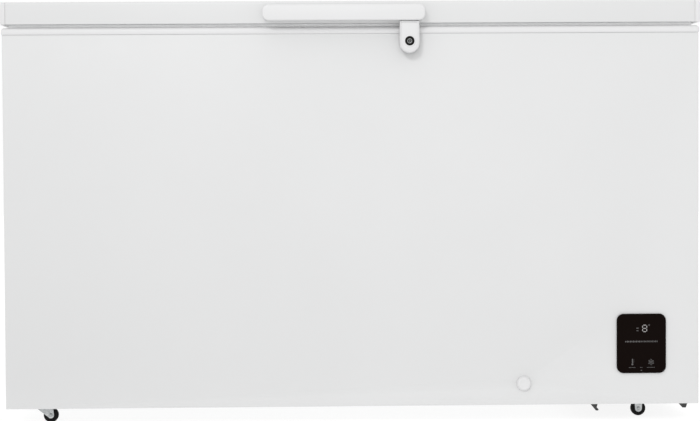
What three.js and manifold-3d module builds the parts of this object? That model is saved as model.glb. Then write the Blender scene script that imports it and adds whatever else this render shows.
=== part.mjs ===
// A chest freezer on casters: a foamed steel cabinet with a hinged, locking lid, a hanging basket,
// a drain, a front control panel and a machine compartment under a step at the right-hand end.
// Millimetres. +X is to the right seen from the front, +Y is to the back and +Z is up.
// The origin is on the floor under the middle of the freezer.

import * as THREE from "three";
import { mergeVertices } from "three/addons/utils/BufferGeometryUtils.js";
import Module from "manifold-3d";

const wasm = await Module();
wasm.setup();

// ---- Driving dimensions -----------------------------------------------------------------------

const GAP = 0.3; // clearance between neighbouring pieces
const EMBED = 1; // how far two forms that are joined into one piece run into each other

const CABINET = { halfWidth: 701, halfDepth: 325, bottom: 32, top: 784, sheet: 0.8, bend: 4 };
const FLANGE = { bottom: 15, top: 12 }; // inward flanges of the cabinet sheet
const BAY = { halfWidth: 636, halfDepth: 260, floor: 110, stepX: 395, stepFloor: 340, sheet: 0.8 };
const MACHINE = { left: 458, ceiling: 275, sheet: 1 }; // compartment below the step
const UNDERSIDE = 44; // lower face of the bottom panel, where the casters are fixed
const FLOOR_SHEET = 1; // thickness of the bottom panel

const FRAME = { halfWidth: 703, halfDepth: 327, top: 798.5, radius: 6, wall: 3 };
const LEDGE = { top: 775, thickness: 3, reach: 14 }; // the basket hangs on it
const LINER_TOP = LEDGE.top - LEDGE.thickness - GAP;
const FOAM_TOP = CABINET.top - CABINET.sheet - GAP;

const LID = { halfWidth: 705, halfDepth: 329, bottom: 805.3, top: 850, edge: 6, sheet: 0.8 };
const LID_CAP = 12; // width of each plastic end cap
const LID_FLANGE = 12; // the lid skin's turned-in lower edge
const SKIN_HALF = LID.halfWidth - LID_CAP;
const PLUG = { halfWidth: 612, halfDepth: 236, bottom: 785, sheet: 1.2 }; // the lid liner's raised part
const FLANGE_DROP = 0.2; // the lid liner's flange stands this far below the skin
const GASKET = { inset: 15, width: 14, radius: 8 };

const HANDLE = { x: -15.5, width: 326, bottom: 809, top: 841.5, front: -355, radius: 13, wall: 3.5, edge: 4 };
const LOCK = { x: 116, z: 768, radius: 9.3, hub: 4 };
const TAB = { width: 39.5, bottom: 744, front: -350, wall: 2.75, edge: 3 };
const CAM = { reach: 15.5, halfWidth: 4, front: -332.5, back: -330 };
const KEEPER = { halfWidth: 15, bottom: 750, sheet: 1.5, ledgeInner: 7, ledge: 3 };

const HINGE = { x: 480, y: 340, z: 806.5, halfWidth: 22, depth: 15, sheet: 2, pin: 3, hole: 3.3 };
const HINGE_FOOT = -126.5; // lower end of the hinge's base, above the pivot

const PANEL = { x: 584, z: 155, width: 100, height: 120.5, radius: 14, thickness: 3, overlap: 4 };
const HOUSING = { halfWidth: 45.5, halfHeight: 55.5, depth: 25, wall: 2 }; // tray behind the panel
const BOARD = { halfWidth: 40, halfHeight: 48, standoff: 8, thickness: 1.6 };
const DRAIN = { x: 345.5, z: 75, y: -200, outer: 9, bore: 6.5 };
const GRILLE = { front: 10, back: 250, bottom: 70, top: 260, thickness: 2, border: 10 };
const GLAND = { x: 655, z: 90, stem: 7, flange: 12, bore: 3.8 };

const WHEEL = { radius: 15, width: 14, bore: 2.3, axle: 2, edge: 1.5 };
const FORK = { inner: 7.5, sheet: 1.5, lead: 13.5 };
const RIVET = { radius: 3.5, height: 1.4 };
const SWIVEL_CASTER = { x: -615, y: 283 };
const RIGID_CASTER = { x: 588, y: 259 };
const PLATE_TOP = UNDERSIDE - GAP - WHEEL.radius; // caster heights, above the axle
const PLATE_THICKNESS = 2.5;
const CROWN = { bottom: 20.5, top: 23.2 };

const BASKET = { x: 500, halfWidth: 115, halfDepth: 240, top: 774, bottom: 560, taper: 16, wall: 2.5 };

const COMPRESSOR = { x: 579, y: 60, radius: 75, bottom: 66, top: 250, seam: 150, wall: 3 };
const FOOT = { halfX: 84, halfY: 56, top: 62.5, margin: 14 }; // the compressor's foot plate
const BASE_PLATE = { left: 470, right: 692, halfDepth: 300, bottom: UNDERSIDE + GAP, top: 46.3 };
const TUBES = { condenser: 2.4, evaporator: 4, sides: 6 };
// Flat recesses in the foam hold the tube runs against the cabinet sheet and against the liner.
const CONDENSER_BAND = { bottom: 320, top: 765, depth: 5.5 };
const EVAPORATOR_BAND = { bottom: 400, top: 760, depth: 9 };
const TUBE_REST = CABINET.sheet + 2 * GAP + TUBES.condenser; // from the sheet's outside to a tube's middle
const SIDE_RUN = CABINET.halfWidth - TUBE_REST; // |x| of the condenser on an end wall
const FRONT_RUN = -CABINET.halfDepth + TUBE_REST; // y of the condenser on the front wall
const EVAPORATOR_STANDOFF = BAY.sheet + 0.8 + TUBES.evaporator; // from the bay's inner face to the tube
const RETURN_Y = 312; // the condenser comes back down at this depth
const SUCTION = { x: 500, y: 292, startZ: 190, reach: 22 }; // where the suction line rises through the foam
const DISCHARGE_Z = 200;
const DRIER = { x: 684, bottom: 130, top: 240, radius: 9, neck: 3, cone: 14 };

// ---- Materials --------------------------------------------------------------------------------

const finish = (color, roughness, metalness) =>
  new THREE.MeshStandardMaterial({ color, roughness, metalness });

const materials = {
  whitePaint: finish(0xf1f2f2, 0.35, 0),
  whitePlastic: finish(0xeeeff0, 0.45, 0),
  linerPaint: finish(0xf4f5f5, 0.4, 0.1),
  foam: finish(0xe8d9a8, 0.9, 0),
  gasket: finish(0xd9dadb, 0.7, 0),
  blackGlass: finish(0x0d0b0b, 0.08, 0),
  blackPlastic: finish(0x1a1a1b, 0.5, 0),
  greyPlastic: finish(0xa9acae, 0.5, 0),
  circuitBoard: finish(0x1f5a35, 0.6, 0),
  zinc: finish(0xb9bcbe, 0.35, 1),
  darkSteel: finish(0x232425, 0.5, 0.4),
  copper: finish(0xb87048, 0.3, 1),
  rubber: finish(0x1b1b1c, 0.85, 0),
  tyre: finish(0x161617, 0.6, 0),
  wire: finish(0xf0f1f1, 0.4, 0),
};

// ---- Solids -----------------------------------------------------------------------------------

function toSolid(geometry) {
  const bare = geometry.clone();
  bare.deleteAttribute("normal");
  bare.deleteAttribute("uv");
  const merged = mergeVertices(bare, 1e-4);
  const vertProperties = new Float32Array(merged.attributes.position.array);
  const triVerts = new Uint32Array(merged.index.array);
  return new wasm.Manifold(new wasm.Mesh({ numProp: 3, vertProperties, triVerts }));
}

function toGeometry(solid) {
  const mesh = solid.getMesh();
  const geometry = new THREE.BufferGeometry();
  geometry.setAttribute("position", new THREE.BufferAttribute(mesh.vertProperties, 3));
  geometry.setIndex(new THREE.BufferAttribute(mesh.triVerts, 1));
  return geometry;
}

function join(first, ...others) {
  return toGeometry(others.reduce((solid, other) => solid.add(toSolid(other)), toSolid(first)));
}

function cut(body, ...tools) {
  return toGeometry(tools.reduce((solid, tool) => solid.subtract(toSolid(tool)), toSolid(body)));
}

function intersect(first, second) {
  return toGeometry(toSolid(first).intersect(toSolid(second)));
}

function box(x0, x1, y0, y1, z0, z1) {
  const geometry = new THREE.BoxGeometry(x1 - x0, y1 - y0, z1 - z0);
  return geometry.translate((x0 + x1) / 2, (y0 + y1) / 2, (z0 + z1) / 2);
}

// A box that is symmetric about the middle of the freezer.
const centredBox = (halfX, halfY, z0, z1) => box(-halfX, halfX, -halfY, halfY, z0, z1);

// Extrudes a shape drawn in (x, y) upwards from z0 to z1.
function extrudeZ(shape, z0, z1, curveSegments = 6) {
  const options = { depth: z1 - z0, bevelEnabled: false, curveSegments };
  return new THREE.ExtrudeGeometry(shape, options).translate(0, 0, z0);
}

// Extrudes a shape drawn in (y, z) along X from x0 to x1.
function extrudeX(shape, x0, x1, curveSegments = 6) {
  const turn = new THREE.Matrix4().makeBasis(
    new THREE.Vector3(0, 1, 0), new THREE.Vector3(0, 0, 1), new THREE.Vector3(1, 0, 0));
  return extrudeZ(shape, x0, x1, curveSegments).applyMatrix4(turn);
}

// Extrudes a shape drawn in (x, z) along Y from y0 to y1.
function extrudeY(shape, y0, y1, curveSegments = 6) {
  return extrudeZ(shape, -y1, -y0, curveSegments).rotateX(Math.PI / 2);
}

// The same, with a rounded edge round the front end, which is at y0.
function extrudeYRounded(shape, y0, y1, round) {
  const options = {
    depth: y1 - y0, bevelThickness: round, bevelSize: round, bevelOffset: -round,
    bevelSegments: 3, curveSegments: 6,
  };
  const bothEnds = new THREE.ExtrudeGeometry(shape, options).rotateX(Math.PI / 2);
  const behind = box(-LID.halfWidth, LID.halfWidth, y1, y1 + 3 * round, 0, LID.top);
  return cut(bothEnds.translate(0, y1 + round, 0), behind);
}

function cylinderY(x, z, radius, y0, y1, segments = 20) {
  return new THREE.CylinderGeometry(radius, radius, y1 - y0, segments).translate(x, (y0 + y1) / 2, z);
}

function cylinderZ(x, y, radius, z0, z1, segments = 20) {
  const geometry = new THREE.CylinderGeometry(radius, radius, z1 - z0, segments);
  return geometry.rotateX(Math.PI / 2).translate(x, y, (z0 + z1) / 2);
}

function cylinderX(y, z, radius, x0, x1, segments = 20) {
  const geometry = new THREE.CylinderGeometry(radius, radius, x1 - x0, segments);
  return geometry.rotateZ(Math.PI / 2).translate((x0 + x1) / 2, y, z);
}

const polygon = (points) => new THREE.Shape(points.map(([x, y]) => new THREE.Vector2(x, y)));

function roundedRectangle(halfX, halfY, radius, x = 0, y = 0) {
  const shape = new THREE.Shape();
  const quarter = Math.PI / 2;
  shape.absarc(x + halfX - radius, y + halfY - radius, radius, 0, quarter);
  shape.absarc(x - halfX + radius, y + halfY - radius, radius, quarter, 2 * quarter);
  shape.absarc(x - halfX + radius, y - halfY + radius, radius, 2 * quarter, 3 * quarter);
  shape.absarc(x + halfX - radius, y - halfY + radius, radius, 3 * quarter, 4 * quarter);
  return shape;
}

// A flat rectangular ring with rounded outer corners.
function ring(outerX, outerY, innerX, innerY, z0, z1, radius) {
  const shape = roundedRectangle(outerX, outerY, radius);
  const hole = [[-innerX, -innerY], [innerX, -innerY], [innerX, innerY], [-innerX, innerY]];
  shape.holes.push(polygon(hole));
  return extrudeZ(shape, z0, z1, 4);
}

// A path through listed stations, so that an extrusion has one section at each of them.
class StationPath extends THREE.Curve {
  constructor(stations) {
    super();
    this.stations = stations;
  }

  getPoint(t) {
    const place = t * (this.stations.length - 1);
    const index = Math.min(Math.floor(place + 1e-9), this.stations.length - 2);
    return this.stations[index].clone().lerp(this.stations[index + 1], place - index);
  }

  getPointAt(u) {
    return this.getPoint(u);
  }

  getTangentAt(u) {
    const index = Math.round(u * (this.stations.length - 1));
    const before = this.stations[Math.max(index - 1, 0)];
    const here = this.stations[index];
    const after = this.stations[Math.min(index + 1, this.stations.length - 1)];
    const arriving = here.clone().sub(before).normalize();
    const leaving = after.clone().sub(here).normalize();
    return arriving.add(leaving).normalize();
  }
}

// Stations along straight runs between corners, with each corner rounded to a bend radius.
function bentRoute(corners, bendRadius, stationsPerBend = 4) {
  const points = corners.map(([x, y, z]) => new THREE.Vector3(x, y, z));
  const stations = [points[0]];
  for (let i = 1; i < points.length - 1; i++) {
    const back = points[i - 1].clone().sub(points[i]).normalize();
    const on = points[i + 1].clone().sub(points[i]).normalize();
    const half = back.angleTo(on) / 2;
    const middle = back.clone().add(on).normalize();
    const centre = points[i].clone().addScaledVector(middle, bendRadius / Math.sin(half));
    const tangentLength = bendRadius / Math.tan(half);
    const start = points[i].clone().addScaledVector(back, tangentLength).sub(centre);
    const end = points[i].clone().addScaledVector(on, tangentLength).sub(centre);
    const sweep = start.angleTo(end);
    for (let k = 0; k < stationsPerBend; k++) {
      const share = k / (stationsPerBend - 1);
      const fromStart = Math.sin((1 - share) * sweep) / Math.sin(sweep);
      const fromEnd = Math.sin(share * sweep) / Math.sin(sweep);
      const spoke = start.clone().multiplyScalar(fromStart).addScaledVector(end, fromEnd);
      stations.push(centre.clone().add(spoke));
    }
  }
  stations.push(points[points.length - 1]);
  return stations;
}

function tube(stations, radius) {
  const section = Array.from({ length: TUBES.sides }, (_, i) => {
    const angle = (2 * Math.PI * i) / TUBES.sides;
    return [radius * Math.cos(angle), radius * Math.sin(angle)];
  });
  const extrudePath = new StationPath(stations);
  const steps = stations.length - 1;
  return new THREE.ExtrudeGeometry(polygon(section), { steps, extrudePath, bevelEnabled: false });
}

function lathe(profile, segments = 24) {
  return new THREE.LatheGeometry(profile.map(([r, h]) => new THREE.Vector2(r, h)), segments);
}

function addMesh(parent, name, geometry, material) {
  const mesh = new THREE.Mesh(geometry, material);
  mesh.name = name;
  parent.add(mesh);
  return mesh;
}

// ---- Cabinet ----------------------------------------------------------------------------------

// Plan of the sheet wrapped round the front and both ends, open at the back.
function wrapPlan(thickness) {
  const { halfWidth: w, halfDepth, bend } = CABINET;
  const back = halfDepth - CABINET.sheet - GAP;
  const shape = new THREE.Shape();
  shape.moveTo(-w, back);
  shape.absarc(-w + bend, -halfDepth + bend, bend, Math.PI, 1.5 * Math.PI);
  shape.absarc(w - bend, -halfDepth + bend, bend, 1.5 * Math.PI, 2 * Math.PI);
  shape.lineTo(w, back);
  shape.lineTo(w - thickness, back);
  if (thickness < bend) {
    shape.absarc(w - bend, -halfDepth + bend, bend - thickness, 2 * Math.PI, 1.5 * Math.PI, true);
    shape.absarc(-w + bend, -halfDepth + bend, bend - thickness, 1.5 * Math.PI, Math.PI, true);
  } else {
    shape.lineTo(w - thickness, -halfDepth + thickness);
    shape.lineTo(-w + thickness, -halfDepth + thickness);
  }
  shape.lineTo(-w + thickness, back);
  return shape;
}

function cabinetShell() {
  const { halfWidth, halfDepth, bottom, top, sheet } = CABINET;
  const openingHalfWidth = PANEL.width / 2 - PANEL.overlap;
  const openingHalfHeight = PANEL.height / 2 - PANEL.overlap;
  const wrap = join(
    extrudeZ(wrapPlan(sheet), bottom, top, 3),
    extrudeZ(wrapPlan(FLANGE.bottom), bottom, bottom + sheet, 3),
    extrudeZ(wrapPlan(FLANGE.top), top - sheet, top, 3));
  const panelOpening = box(
    PANEL.x - openingHalfWidth, PANEL.x + openingHalfWidth, -halfDepth - EMBED, -halfDepth + 2,
    PANEL.z - openingHalfHeight, PANEL.z + openingHalfHeight);
  const drainHole = cylinderY(DRAIN.x, DRAIN.z, DRAIN.outer + 1, -halfDepth - EMBED, -halfDepth + 2);
  const vent = box(halfWidth - 2, halfWidth + EMBED, GRILLE.front + GRILLE.border,
    GRILLE.back - GRILLE.border, GRILLE.bottom + GRILLE.border, GRILLE.top - GRILLE.border);
  return cut(wrap, panelOpening, drainHole, vent);
}

// The space inside the sheet, less a clearance and a further inset, between two heights.
function insideCabinet(z0, z1, inset = 0) {
  const clear = CABINET.sheet + GAP + inset;
  const halfX = CABINET.halfWidth - clear;
  const halfY = CABINET.halfDepth - clear;
  return extrudeZ(roundedRectangle(halfX, halfY, CABINET.bend), z0, z1, 3);
}

// Rows of slots for air, as cutting tools; across and up are the two centre coordinates.
function slotGrid(columns, rows, makeSlot) {
  return columns.flatMap((across) => rows.map((up) => makeSlot(across, up)));
}

function evenSteps(first, last, count) {
  return Array.from({ length: count }, (_, i) => first + ((last - first) * i) / (count - 1));
}

function rearPanel() {
  const { halfWidth, halfDepth, bottom, top, sheet } = CABINET;
  const y0 = halfDepth - sheet;
  const halfSlot = { width: 40, height: 3 };
  const before = y0 - EMBED;
  const behind = halfDepth + EMBED;
  const slots = slotGrid([530, 630], evenSteps(140, 250, 7), (x, z) => box(x - halfSlot.width,
    x + halfSlot.width, before, behind, z - halfSlot.height, z + halfSlot.height));
  const glandHole = cylinderY(GLAND.x, GLAND.z, GLAND.stem + GAP, before, behind, 16);
  return cut(box(-halfWidth, halfWidth, y0, halfDepth, bottom, top), ...slots, glandHole);
}

// Where the mains lead leaves the compartment: a flanged bush with an open bore.
function cordGland() {
  const back = CABINET.halfDepth;
  const outside = cylinderY(GLAND.x, GLAND.z, GLAND.flange, back + GAP, back + 6);
  const nose = cylinderY(GLAND.x, GLAND.z, GLAND.stem + 1.5, back + 5, back + 14);
  const stem = cylinderY(GLAND.x, GLAND.z, GLAND.stem, back - 8, back + 5);
  const bore = cylinderY(GLAND.x, GLAND.z, GLAND.bore, back - 10, back + 16, 16);
  return cut(join(outside, nose, stem), bore);
}

// A tray that closes the cabinet below the foam, hollow from underneath.
function bottomPanel() {
  const sheet = FLOOR_SHEET;
  const right = MACHINE.left - MACHINE.sheet - 1;
  const halfDepth = CABINET.halfDepth - CABINET.sheet - GAP;
  const left = -CABINET.halfWidth + CABINET.sheet + GAP;
  const low = CABINET.bottom + CABINET.sheet + GAP;
  const plate = box(left, right, -halfDepth, halfDepth, low, UNDERSIDE + sheet);
  const hollow = box(
    left + sheet, right + EMBED, -halfDepth + sheet, halfDepth - sheet, low - EMBED, UNDERSIDE);
  return intersect(cut(plate, hollow), insideCabinet(low - EMBED, MACHINE.ceiling));
}

// Side view of the bay and its step, grown outwards by a margin.
function bayProfile(margin, top) {
  const { halfWidth, floor, stepX, stepFloor } = BAY;
  return polygon([
    [-halfWidth - margin, floor - margin], [stepX + margin, floor - margin],
    [stepX + margin, stepFloor - margin], [halfWidth + margin, stepFloor - margin],
    [halfWidth + margin, top], [-halfWidth - margin, top]]);
}

function bayBlock(margin, top) {
  return extrudeY(bayProfile(margin, top), -BAY.halfDepth - margin, BAY.halfDepth + margin);
}

function innerLiner() {
  const stopperHole = cylinderZ(DRAIN.x, DRAIN.y, DRAIN.outer, BAY.floor - 2, BAY.floor + 1);
  return cut(bayBlock(BAY.sheet, LINER_TOP), bayBlock(0, LINER_TOP + EMBED), stopperHole);
}

function insulationFoam() {
  const halfWidth = CABINET.halfWidth - CABINET.sheet - GAP;
  const halfDepth = CABINET.halfDepth - CABINET.sheet - GAP;
  const bottom = UNDERSIDE + FLOOR_SHEET + GAP;
  const band = CONDENSER_BAND;
  const block = join(
    insideCabinet(bottom, band.bottom),
    insideCabinet(band.bottom - EMBED, band.top + EMBED, band.depth),
    insideCabinet(band.top, FOAM_TOP));
  const margin = BAY.sheet + GAP;
  const evaporatorRoom = centredBox(BAY.halfWidth + margin + EVAPORATOR_BAND.depth,
    BAY.halfDepth + margin + EVAPORATOR_BAND.depth, EVAPORATOR_BAND.bottom, EVAPORATOR_BAND.top);
  const machineRoom = box(MACHINE.left - MACHINE.sheet - GAP, halfWidth + EMBED, -halfDepth - EMBED,
    halfDepth + EMBED, bottom - EMBED, MACHINE.ceiling + MACHINE.sheet + GAP);
  const bayRoom = bayBlock(margin, FOAM_TOP + EMBED);
  return cut(block, bayRoom, evaporatorRoom, machineRoom, ...tubeChannels(), ...drainChannel());
}

function drainChannel() {
  const { x, y, z } = DRAIN;
  const half = DRAIN.outer + GAP;
  return [
    box(x - half, x + half, -CABINET.halfDepth, y + half, z - half, z + half),
    box(x - half, x + half, y - half, y + half, z, BAY.floor)];
}

// A sheet that walls the machine compartment off from the foam, above and to its left.
function compressorBulkhead() {
  const { left, ceiling, sheet } = MACHINE;
  const halfDepth = CABINET.halfDepth - CABINET.sheet - GAP;
  const right = CABINET.halfWidth - CABINET.sheet - GAP;
  const low = UNDERSIDE + FLOOR_SHEET + GAP;
  const wall = box(left - sheet, left, -halfDepth, halfDepth, low, ceiling + sheet);
  const roof = box(left - sheet, right, -halfDepth, halfDepth, ceiling, ceiling + sheet);
  const bent = intersect(join(wall, roof), insideCabinet(UNDERSIDE, ceiling + sheet + EMBED));
  return cut(bent, ...tubeChannels());
}

// The moulded collar that covers the top of the walls, with a lip outside and a ledge inside.
function topFrame() {
  const skirt = { x: BAY.halfWidth + BAY.sheet, y: BAY.halfDepth + BAY.sheet };
  const inner = { x: skirt.x - FRAME.wall, y: skirt.y - FRAME.wall };
  const bottom = CABINET.top + GAP;
  const collar = ring(FRAME.halfWidth, FRAME.halfDepth, inner.x, inner.y, bottom, FRAME.top, FRAME.radius);
  const wall = ring(skirt.x, skirt.y, inner.x, inner.y, LEDGE.top - EMBED, bottom + EMBED, 1);
  const ledge = ring(skirt.x, skirt.y, skirt.x - LEDGE.reach, skirt.y - LEDGE.reach,
    LEDGE.top - LEDGE.thickness, LEDGE.top, 1);
  return join(collar, wall, ledge);
}

// ---- Refrigeration ----------------------------------------------------------------------------

// Openings for the tubes through the bulkhead's roof and the foam above it.
function tubeChannels() {
  const low = MACHINE.ceiling - EMBED;
  const wide = 8;
  const inner = SIDE_RUN - 5;
  const outer = CABINET.halfWidth;
  const high = CONDENSER_BAND.bottom + EMBED;
  const suctionLow = EVAPORATOR_BAND.bottom + 6;
  const suctionHigh = EVAPORATOR_BAND.bottom + 34;
  const evaporatorY = BAY.halfDepth + BAY.sheet;
  const { x, y } = SUCTION;
  return [
    box(inner, outer, COMPRESSOR.y - wide, COMPRESSOR.y + wide, low, high),
    box(inner, outer, RETURN_Y - wide, RETURN_Y + wide, low, high),
    box(x - wide, x + wide, y - wide, y + wide, low, suctionHigh),
    box(x - SUCTION.reach - wide, x + wide, evaporatorY, y, suctionLow, suctionHigh)];
}

// The warm tube: back and forth round the front and both ends, behind the cabinet sheet.
function condenserTube() {
  const rows = evenSteps(360, 660, 4);
  const turnY = 290;
  const dropZ = 256; // where the return crosses over to the drier
  const corners = [
    [SIDE_RUN, COMPRESSOR.y, CONDENSER_BAND.bottom + 12], [SIDE_RUN, COMPRESSOR.y, rows[0]]];
  rows.forEach((z, i) => {
    const side = i % 2 === 0 ? 1 : -1;
    if (i > 0) corners.push([side * SIDE_RUN, turnY, z]);
    corners.push([side * SIDE_RUN, FRONT_RUN, z], [-side * SIDE_RUN, FRONT_RUN, z]);
    const last = i === rows.length - 1;
    corners.push([-side * SIDE_RUN, last ? RETURN_Y : turnY, z]);
  });
  corners.push([SIDE_RUN, RETURN_Y, dropZ], [DRIER.x, RETURN_Y, dropZ]);
  corners.push([DRIER.x, RETURN_Y, DRIER.top + GAP]);
  return tube(bentRoute(corners, 6), TUBES.condenser);
}

// The cold tube: turns wound round the outside of the liner.
function evaporatorTube() {
  const x = BAY.halfWidth + EVAPORATOR_STANDOFF;
  const y = BAY.halfDepth + EVAPORATOR_STANDOFF;
  const turns = 4;
  const first = EVAPORATOR_BAND.bottom + 20;
  const rise = 75;
  const corners = [[SUCTION.x - SUCTION.reach, y, first]];
  for (let turn = 0; turn < turns; turn++) {
    const z = first + turn * rise;
    corners.push([-x, y, z], [-x, -y, z + rise / 3], [x, -y, z + (2 * rise) / 3], [x, y, z + rise]);
  }
  corners.push([0, y, first + turns * rise]);
  return tube(bentRoute(corners, 5), TUBES.evaporator);
}

function suctionLine() {
  const y = BAY.halfDepth + EVAPORATOR_STANDOFF;
  const z = EVAPORATOR_BAND.bottom + 20;
  const low = SUCTION.startZ;
  return tube(bentRoute([
    [COMPRESSOR.x, COMPRESSOR.y + COMPRESSOR.radius + GAP, low], [COMPRESSOR.x, SUCTION.y, low],
    [SUCTION.x, SUCTION.y, low], [SUCTION.x, SUCTION.y, z], [SUCTION.x, y, z],
    [SUCTION.x - SUCTION.reach + GAP, y, z]], 8), TUBES.evaporator);
}

function dischargeLine() {
  const z = DISCHARGE_Z;
  return tube(bentRoute([
    [COMPRESSOR.x + COMPRESSOR.radius + GAP, COMPRESSOR.y, z], [SIDE_RUN, COMPRESSOR.y, z],
    [SIDE_RUN, COMPRESSOR.y, CONDENSER_BAND.bottom + 12 - GAP]], 12), TUBES.condenser);
}

function filterDrier() {
  const { bottom, top, radius, x, neck, cone } = DRIER;
  const profile = [
    [0, bottom], [neck, bottom], [radius, bottom + cone],
    [radius, top - cone], [neck, top], [0, top]];
  return lathe(profile, 16).rotateX(Math.PI / 2).translate(x, RETURN_Y, 0);
}

// The welded can: a domed cup, open below where it stands over the foot plate's hole.
function compressorHousing() {
  const { radius: r, bottom, top, seam, wall, x, y } = COMPRESSOR;
  const lip = r - 5; // the can draws in to this radius where it meets the foot plate
  const inside = [
    [lip - wall, bottom], [r - wall - 1, bottom + 14], [r - wall - 1, top - 35],
    [r * 0.85, top - 17], [r * 0.58, top - 6], [0, top - 3]];
  const outside = [
    [0, top], [r * 0.6, top - 3], [r * 0.88, top - 14], [r - 1, top - 34], [r - 1, seam + 6],
    [r + 5, seam + 6], [r + 5, seam], [r, seam], [r, bottom + 14], [lip, bottom]];
  const can = lathe([...outside, ...inside].reverse()).rotateX(Math.PI / 2);
  const outline = roundedRectangle(FOOT.halfX + FOOT.margin, FOOT.halfY + FOOT.margin, 12);
  const plate = extrudeZ(outline, FOOT.top, bottom + EMBED, 4);
  const hole = cylinderZ(0, 0, r - 15, FOOT.top - EMBED, bottom + 2);
  return join(can, cut(plate, hole)).translate(x, y, 0);
}

// A waisted rubber foot between the base plate and the compressor's foot plate.
function compressorMount() {
  const low = BASE_PLATE.top + GAP;
  const high = FOOT.top - GAP;
  const wide = { bottom: 12, top: 11 };
  const waist = 8;
  const profile = [
    [0, low], [wide.bottom, low], [wide.bottom, low + 4], [waist, low + 6],
    [waist, high - 5], [wide.top, high - 3], [wide.top, high], [0, high]];
  return lathe(profile, 16).rotateX(Math.PI / 2);
}

// The pressed plate that carries the compressor, with two turned-down lugs at each end.
function compressorBasePlate() {
  const { left, right, halfDepth, bottom, top } = BASE_PLATE;
  const sheet = top - bottom;
  const leftLug = [
    [482, top], [482, 32], [495.5, 15.5], [500.5, 15.5], [501, 18], [497, 22], [500, 32], [500, top]];
  const rightLug = [[662, top], [662, 32], [673, 20], [680, 20], [684, 32], [684, top]];
  const lugs = [-halfDepth, halfDepth - sheet].flatMap((y) =>
    [leftLug, rightLug].map((outline) => extrudeY(polygon(outline), y, y + sheet)));
  return join(box(left, right, -halfDepth, halfDepth, bottom, top), ...lugs);
}

// The starting relay's cover, on the front of the compressor below its seam.
function relayBox() {
  const back = COMPRESSOR.y - COMPRESSOR.radius - 0.5;
  const half = 28;
  const depth = 36;
  return box(COMPRESSOR.x - half, COMPRESSOR.x + half, back - depth, back, 88, COMPRESSOR.seam - 5);
}

function sideGrille() {
  const x0 = CABINET.halfWidth + GAP;
  const x1 = x0 + GRILLE.thickness;
  const middle = (GRILLE.front + GRILLE.back) / 2;
  const halfSlot = { width: 46, height: 3 };
  const slots = slotGrid([middle - 54, middle + 54], evenSteps(95, 235, 9), (y, z) => box(x0 - EMBED,
    x1 + EMBED, y - halfSlot.width, y + halfSlot.width, z - halfSlot.height, z + halfSlot.height));
  return cut(box(x0, x1, GRILLE.front, GRILLE.back, GRILLE.bottom, GRILLE.top), ...slots);
}

// ---- Controls and drain -----------------------------------------------------------------------

function controlPanel() {
  const face = -CABINET.halfDepth - GAP;
  const { x, z, width, height, radius, thickness } = PANEL;
  return extrudeY(roundedRectangle(width / 2, height / 2, radius, x, z), face - thickness, face);
}

// An open-backed tray behind the panel.
function controlHousing() {
  const { halfWidth: w, halfHeight: h, depth, wall } = HOUSING;
  const front = -CABINET.halfDepth;
  const outside = box(PANEL.x - w, PANEL.x + w, front, front + depth, PANEL.z - h, PANEL.z + h);
  const inside = box(PANEL.x - w + wall, PANEL.x + w - wall, front + wall, front + depth + EMBED,
    PANEL.z - h + wall, PANEL.z + h - wall);
  return cut(outside, inside);
}

function controlBoard() {
  const { halfWidth, halfHeight, standoff, thickness } = BOARD;
  const front = -CABINET.halfDepth + standoff;
  return box(PANEL.x - halfWidth, PANEL.x + halfWidth, front, front + thickness,
    PANEL.z - halfHeight, PANEL.z + halfHeight);
}

// From the hole in the front, back under the bay, and up to its floor.
function drainTube() {
  const front = -CABINET.halfDepth + CABINET.sheet + GAP;
  const top = BAY.floor - BAY.sheet - GAP;
  const level = cylinderY(DRAIN.x, DRAIN.z, DRAIN.outer, front, DRAIN.y + DRAIN.outer, 20);
  const riser = cylinderZ(DRAIN.x, DRAIN.y, DRAIN.outer, DRAIN.z, top, 20);
  const levelBore = cylinderY(DRAIN.x, DRAIN.z, DRAIN.bore, front - 1, DRAIN.y, 20);
  const riserBore = cylinderZ(DRAIN.x, DRAIN.y, DRAIN.bore, DRAIN.z, top + 1, 20);
  return cut(join(level, riser), levelBore, riserBore);
}

// The round cap on the front; its stem is pushed into the drain tube.
function drainCap() {
  const face = -CABINET.halfDepth - GAP;
  const stem = DRAIN.bore - GAP;
  const profile = [[0, -16], [stem, -16], [stem, 0], [15, 0], [15, 4], [12, 7], [0, 7]];
  const cap = lathe(profile);
  return cap.rotateZ(Math.PI).translate(DRAIN.x, face, DRAIN.z);
}

// A plug that stands in the bay's drain hole and lifts out to let the water run.
function drainStopper() {
  const stem = DRAIN.bore - GAP;
  const profile = [[0, -14], [stem, -14], [stem, 0], [15, 0], [15, 2], [12, 3], [0, 3]];
  return lathe(profile).rotateX(Math.PI / 2).translate(DRAIN.x, DRAIN.y, BAY.floor + GAP);
}

// ---- Lid --------------------------------------------------------------------------------------

// Section of the lid's outside, from the inner end of one bottom flange round to the other.
function lidSection(inset) {
  const { halfDepth, bottom, top, edge } = LID;
  const radius = edge - inset;
  const shape = new THREE.Shape();
  shape.moveTo(-halfDepth + inset, bottom + inset);
  shape.lineTo(halfDepth - inset, bottom + inset);
  shape.absarc(halfDepth - edge, top - edge, radius, 0, Math.PI / 2);
  shape.absarc(-halfDepth + edge, top - edge, radius, Math.PI / 2, Math.PI);
  return shape;
}

function lidSkin() {
  const outside = extrudeX(lidSection(0), -SKIN_HALF, SKIN_HALF);
  const inside = extrudeX(lidSection(LID.sheet), -SKIN_HALF - EMBED, SKIN_HALF + EMBED);
  const mouth = LID.halfDepth - LID_FLANGE;
  const opening = centredBox(SKIN_HALF + EMBED, mouth, LID.bottom - EMBED, LID.bottom + 2);
  return cut(outside, inside, opening);
}

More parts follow.
